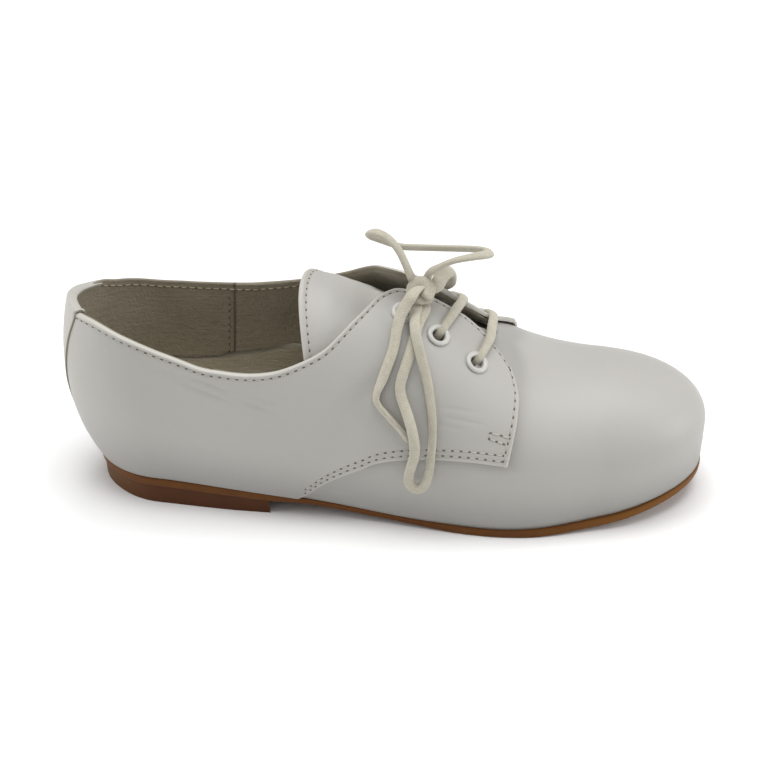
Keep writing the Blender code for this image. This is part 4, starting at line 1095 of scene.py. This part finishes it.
# Sole, heel and insole
soleSizes = {"gap": 0.3, "ribs": 180}
soleEdge = table(
    "along beyond thick",
    (0.0, 0.5, 3.0), (16.0, 0.9, 3.0), (38.0, 1.7, 3.0), (alongAt(60), 1.2, 2.9),
    (alongAt(76), 0.3, 2.3), (alongAt(102), 0.2, 2.3), (alongAt(125), 0.9, 2.8),
    (toeStart, 1.2, 3.0), (toeStart + 25.5, 0.7, 3.0), (tip, 0.2, 2.6))
soleProfile = table(
    "inset drop",
    (2.4, 0.0), (0.5, 0.0), (0.2, 0.04), (0.05, 0.12), (0.0, 0.28), (0.0, 0.6), (0.06, 0.8),
    (0.22, 0.93), (0.5, 1.0), (2.4, 1.0))


def soleTop(along):
    return featherHeight(along, outerSide) - soleSizes["gap"]


def soleBottom(along):
    return np.maximum(soleTop(along) - hermite(soleEdge, along, "thick"), 0.0)


def soleRadius(along, side):
    return featherRadius(along, side) + hermite(soleEdge, along, "beyond")


def plate(radius, along, across, inset, z):  # ribs straight across from the outer to the inner edge
    outer, inner = (planPoint(along, side, radius(along, side) - inset, z) for side in (outerSide, innerSide))
    return outer + (inner - outer) * ((across + 1) / 2)[..., None]


def ringPiece(name, along, side, insets, heights, material, marks=None):
    rings = [planPoint(along, side, soleRadius(along, side) - inset, z) for inset, z in zip(insets, heights)]
    points = np.stack(rings, 1)
    count, levels = points.shape[:2]
    corner = np.arange(count)[:, None] * levels + np.arange(levels - 1)
    nextRib = np.roll(np.arange(count), -1)[:, None] * levels + np.arange(levels - 1)
    faces = [np.stack((corner, nextRib, nextRib + 1, corner + 1), -1).reshape(-1, 4)]
    half = count // 2
    near = np.arange(half)
    far = (count - near) % count
    after, farAfter = near + 1, (count - near - 1) % count
    for level in (0, levels - 1):
        quads = np.stack((near, after, farAfter, far), -1) * levels + level
        faces.append(quads)
    return addPiece(name, points.reshape(-1, 3), np.concatenate(faces), [material], marks=marks,
                    weld=0.00001, sharp=50)


def outlineRun(last, ribs):  # heel back, outer side to the front, and back along the inner side
    along = np.linspace(0, last, ribs)
    return np.concatenate((along, along[-2:0:-1])), np.concatenate(
        (np.full(ribs, outerSide), np.full(ribs - 2, innerSide)))


def addOutsole():
    along, side = outlineRun(tip, soleSizes["ribs"])
    top, bottom = soleTop(along), soleBottom(along)
    heights = [top + (bottom - top) * drop for drop in soleProfile["drop"]]
    # Painted shadow along the sole's top, under the upper; the sole gets lighter towards the toe.
    mark = np.tile(bell(soleProfile["drop"], 0.10), len(along))
    pale = np.repeat(smooth(along, alongAt(140), toeStart + 10), len(soleProfile["drop"]))
    piece = ringPiece("outsole_leather", along, side, soleProfile["inset"], heights, finishes["tanSole"],
                      {"edge": mark, "shadeAndTone": pale})
    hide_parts("outsole")


heelSizes = {"breastX": 61.3, "hollow": 5.0, "inset": 0.7, "taper": 0.4, "gap": 0.05, "bevel": 0.45,
             "ribs": 70, "across": 15}


def addHeel():
    last = alongAt(heelSizes["breastX"])
    along = np.linspace(0, last, heelSizes["ribs"])[:, None]
    across = np.linspace(-1, 1, heelSizes["across"])[None, :]
    share = np.clip((along - lastShape["heelArc"]) / (last - lastShape["heelArc"]), 0, 1)
    inset, foot = heelSizes["inset"], heelSizes["inset"] + heelSizes["taper"]
    top = plate(soleRadius, along, across, inset, soleBottom(along) - heelSizes["gap"])
    bottom = plate(soleRadius, along, across, foot, 0 * along)
    for grid in (top, bottom):
        grid[..., 0] -= heelSizes["hollow"] * share * (1 - across ** 2)
    mark = 1 - smooth(along, 12.0, 44.0) + 0 * across
    piece = layerPiece("heel_block", top, bottom, [finishes["brownHeel"]], "brown_heel", {"edge": mark},
                       sharp=40)
    work = bmesh.new()
    work.from_mesh(piece.data)
    bmesh.ops.remove_doubles(work, verts=work.verts, dist=0.00001)
    bmesh.ops.dissolve_degenerate(work, edges=work.edges, dist=0.000005)
    work.to_mesh(piece.data)
    work.free()
    edge = piece.modifiers.new("edge", "BEVEL")
    edge.width = heelSizes["bevel"] * mm
    edge.segments = 3
    edge.limit_method = "ANGLE"
    edge.angle_limit = math.radians(45)
    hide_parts("heel")


insoleSizes = {"thick": 1.8, "inset": 1.15, "rim": 0.9, "rimWide": 3.0, "ribs": 120, "across": 31}


def addInsole():
    along = np.linspace(0, tip, insoleSizes["ribs"])[:, None]
    across = np.linspace(-1, 1, insoleSizes["across"])[None, :]
    low = soleTop(along) + soleSizes["gap"]
    top, bottom = (plate(featherRadius, along, across, insoleSizes["inset"], low + thick)
                   for thick in (insoleSizes["thick"], 0.0))
    width = np.linalg.norm(bottom[:, :1] - bottom[:, -1:], axis=-1)
    away = (1 - np.abs(across)) * width / 2
    top[..., 2] += insoleSizes["rim"] * bell(away, insoleSizes["rimWide"])
    piece = layerPiece("insole_sock", top, bottom, [finishes["taupeSock"]], "taupe_lining")
    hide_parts("insole")


# Turned-up margin of the sock: rise of its top edge on each side.
marginSizes = {"wall": 0.55, "foot": 2.2, "lap": 0.32, "high": 20.0, "low": 0.03, "ribs": 150, "across": 22}
marginTable = table("along riseOut riseIn", (0.0, 0.23, 0.23), (20.0, 0.23, 0.24), (38.0, 0.22, 0.257),
                    (alongAt(42), 0.21, 0.31), (alongAt(54), 0.20, 0.332), (alongAt(66), 0.20, 0.361),
                    (alongAt(90), 0.17, 0.30), (alongAt(118), 0.12, 0.16))


def addMargin():
    along, side = bothSides(np.linspace(0, 1, marginSizes["ribs"]) * marginTable["along"][-1])
    share = np.concatenate((np.linspace(0, 0.94, marginSizes["across"]), (0.965, 0.985, 1.0)))[None, :]
    top = np.where(side < 0, hermite(marginTable, along, "riseOut"), hermite(marginTable, along, "riseIn"))
    rise = marginSizes["low"] + (top - marginSizes["low"]) * share
    along, side = along + 0 * rise, side + 0 * rise
    seat = liningSizes["seat"] - liningSizes["wall"] - liningSizes["lap"]
    down = (1 - share) * marginSizes["high"]
    swell = marginSizes["wall"] * roundOff(down, 0.8) + marginSizes["foot"] * (1 - share) ** 4
    inner = skin(along, side, rise, seat + marginSizes["lap"] + 0 * rise)
    outer = skin(along, side, rise, seat - 0.02 - swell + 0 * rise)
    # Painted shadow line along the margin's top edge.
    mark = bell(down, 0.45) * (1 - smooth(along, alongAt(56), alongAt(70)))
    piece = layerPiece("sock_margin", outer, inner, [finishes["taupeSock"]], "taupe_lining", {"edge": mark})
    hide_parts("insole")


addOutsole()
addHeel()
addInsole()
addMargin()
print("sole, heel and insole ready")

# Stitching: a hole is long, wide and high by these halves.
stitchSizes = {"pitch": 2.65, "thread": 0.24, "rise": 0.03, "dip": 0.2, "hole": (0.62, 0.37, 0.10),
               "sides": 8, "rings": 7}


def evenRow(line, normals):
    place, way = evenPoints(line, stitchSizes["pitch"], 2, normals)
    return place, unit(way)


def gridNormals(points):
    return unit(np.cross(np.gradient(points, axis=0), np.gradient(points, axis=1)))


def lineAtDistance(points, normals, distance, at, axis):  # where one direction of a grid passes a distance
    if axis == 0:
        points, normals, distance = points.swapaxes(0, 1), normals.swapaxes(0, 1), distance.T
    line = [[np.interp(at, d, p[:, k]) for k in range(3)] for d, p in zip(distance, points)]
    ways = [[np.interp(at, d, n[:, k]) for k in range(3)] for d, n in zip(distance, normals)]
    return np.array(line), unit(np.array(ways))


def closedRings(rings, sides):  # faces of stacked rings with a point at each end
    last, ends = (rings - 1) * sides, rings * sides
    faces = []
    for j in range(sides):
        k = (j + 1) % sides
        for a in range(0, last, sides):
            faces.append((a + j, a + k, a + sides + k, a + sides + j))
        faces.append((ends, k, j))
        faces.append((ends + 1, last + j, last + k))
    return faces


def stitchPoints(rows):  # threads between holes, and the holes
    angle = np.arange(stitchSizes["sides"])[:, None] / stitchSizes["sides"] * 2 * np.pi
    bow = np.linspace(-1, 1, stitchSizes["rings"])
    high = stitchSizes["rise"] - (stitchSizes["rise"] + stitchSizes["dip"]) * bow ** 4
    size = stitchSizes["thread"] * np.sqrt(np.maximum(1 - (np.abs(bow) * 0.97) ** 6, 0.05))
    holeLong, holeWide, holeHigh = stitchSizes["hole"]
    threads, holes = [], []
    for place, way in rows:
        for k in range(len(place)):
            ahead = unit(place[min(k + 1, len(place) - 1)] - place[max(k - 1, 0)])
            out = unit(way[k] - ahead * np.dot(way[k], ahead))
            ring = ahead * (np.cos(angle) * holeLong) + np.cross(ahead, out) * (np.sin(angle) * holeWide)
            out = out * holeHigh
            holes.append(place[k] + np.concatenate((ring * 0.72 + out, ring - out, [out * 1.2, -out * 2])))
        for k in range(len(place) - 1):
            step = place[k + 1] - place[k]
            ahead, out = unit(step), unit(way[k] + way[k + 1])
            out = unit(out - ahead * np.dot(out, ahead))
            reach = 0.5 * (1 - 0.9 * holeLong / np.linalg.norm(step))
            path = (place[k] + place[k + 1]) / 2 + step * (bow * reach)[:, None] + out * high[:, None]
            ring = np.cross(ahead, out) * np.cos(angle) + out * np.sin(angle)
            tube = path[:, None] + ring * size[:, None, None]
            threads.append(np.concatenate((tube.reshape(-1, 3), [path[0], path[-1]])))
    return threads, holes


def addStitches(name, rows, thread, hole):
    threads, holes = stitchPoints(rows)
    # The holes are dark lenses of painted shade.
    parts = (("Thread", threads, stitchSizes["rings"], thread), ("Holes", holes, 2, hole))
    for part, blocks, rings, look in parts:
        shape, size = closedRings(rings, stitchSizes["sides"]), len(blocks[0])
        faces = [[start * size + corner for corner in face] for start in range(len(blocks)) for face in shape]
        addPiece(name + part, np.concatenate(blocks), faces, [finishes[look]])
    print(name, "stitches", len(threads))


def quarterRows():
    outer, normals = quarters["outer"], gridNormals(quarters["outer"])
    if np.dot(normals[3, 30], (0, -1, 0.3)) < 0:
        normals = -normals
    inset, half = quarterSizes["stitchIn"], len(outer) // 2
    line, way = lineAtDistance(outer[:, ::-1], normals[:, ::-1], quarters["top"][:, ::-1], inset, 1)
    clear = quarters["front"][:, -1] > inset
    rows = [evenRow(line[clear], way[clear])]  # along the collar
    for part in (slice(0, half), slice(None, half, -1)):
        line, way = lineAtDistance(outer[part], normals[part], quarters["front"][part], inset, 0)
        inside = (quarters["top"][0] > inset) & (quarters["down"][0] > quarterSizes["lowerRows"][0])
        rows.append(evenRow(line[inside], way[inside]))
        for low in quarterSizes["lowerRows"]:
            line, way = lineAtDistance(outer[part], normals[part], quarters["down"][part], low, 1)
            over = (quarters["rise"][part][:, 0] > 0.03) & (quarters["front"][part][:, 0] > inset)
            rows.append(evenRow(line[over], way[over]))
    return rows


# Bar tack: a narrow U, open to the front; x and rise of its needle holes.
tackPoints = ((137.2, 0.519), (134.5, 0.521), (131.2, 0.517), (130.9, 0.493), (133.2, 0.4915),
              (135.4, 0.4895))


def tackRows():
    rows = []
    for side in (outerSide, innerSide):
        x, rise = np.array(tackPoints).T
        line = skin(alongAt(x), side, rise, np.full(x.shape, quarterSizes["raise"]))
        rows.append((line, skinNormal(alongAt(x), side, rise)))
    return rows


def tongueRow():
    normals = gridNormals(tongue["outer"])
    if normals[5, 35][2] < 0:
        normals = -normals
    line, way = lineAtDistance(tongue["outer"], normals, tongue["back"], tongueSizes["stitchIn"], 0)
    clear = tongue["sides"][0] > 1.5
    return [evenRow(line[clear], way[clear])]


def liningRows():
    inner = lining["inner"]
    normals = gridNormals(inner)
    if np.dot(normals[len(inner) // 4, 20], (0, 1, 0)) < 0:
        normals = -normals
    line, way = lineAtDistance(inner[:, ::-1], normals[:, ::-1], lining["top"][:, ::-1],
                               liningSizes["stitchIn"], 1)
    rows, half = [], len(inner) // 2
    for part in (slice(0, half - 12), slice(half + 12, None)):
        along = lining["along"][part][:, 0]
        clear = (along > 8) & (along < alongAt(liningSizes["stitchX"]))
        rows.append(evenRow(line[part][clear], way[part][clear]))
    for part in (slice(0, half), slice(None, half, -1)):
        away = seamAway(inner[part]) + liningSizes["seamStitch"]
        seam, seamWay = lineAtDistance(inner[part][::-1], normals[part][::-1], away[::-1], 0.0, 0)
        clear = (lining["top"][half] > 2.6) & (lining["rise"][half] > 0.30)
        rows.append(evenRow(seam[clear], seamWay[clear]))
    return rows


upperRows = quarterRows() + tackRows() + tongueRow()
addStitches("upperStitch", upperRows, "stitchThread", "needleHoleShade")
addStitches("liningStitch", liningRows(), "liningThread", "liningHoleShade")

# Floor and light
stageSizes = {"floor": 6.0, "floorTone": 0.93, "floorRough": 0.9, "world": 0.385}
lampTable = (("overhead", (0.05, 0.12, 1.3), 1.2, 16.7), ("heelSide", (-1.0, -0.12, 0.32), 0.6, 3.8),
             ("toeSide", (1.0, -0.16, 0.42), 0.6, 3.9))  # name, place, size and power


def addStage():
    scene = bpy.context.scene
    scene.view_settings.view_transform = "Standard"
    size = stageSizes["floor"]
    data = bpy.data.meshes.new("floor")
    corners = [(-size, -size, 0), (size, -size, 0), (size, size, 0), (-size, size, 0)]
    data.from_pydata(corners, [], [(0, 1, 2, 3)])
    floor = bpy.data.objects.new("floor", data)
    scene.collection.objects.link(floor)
    paper = bpy.data.materials.new("paleFloor")
    paper.use_nodes = True
    shader = paper.node_tree.nodes["Principled BSDF"]
    shader.inputs["Base Color"].default_value = (*(stageSizes["floorTone"],) * 3, 1)
    shader.inputs["Roughness"].default_value = stageSizes["floorRough"]
    data.materials.append(paper)
    world = bpy.data.worlds.new("studio")
    world.use_nodes = True
    background = world.node_tree.nodes["Background"]
    background.inputs["Color"].default_value = (1.0, 1.0, 1.0, 1)
    background.inputs["Strength"].default_value = stageSizes["world"]
    scene.world = world
    for name, place, size, power in lampTable:
        lamp = bpy.data.lights.new(name, "AREA")
        lamp.size = size
        lamp.energy = power
        light = bpy.data.objects.new(name, lamp)
        scene.collection.objects.link(light)
        light.location = place
        light.rotation_euler = (-Vector(place)).to_track_quat("-Z", "Y").to_euler()


addStage()
print("stage ready")

bpy.context.view_layer.update()
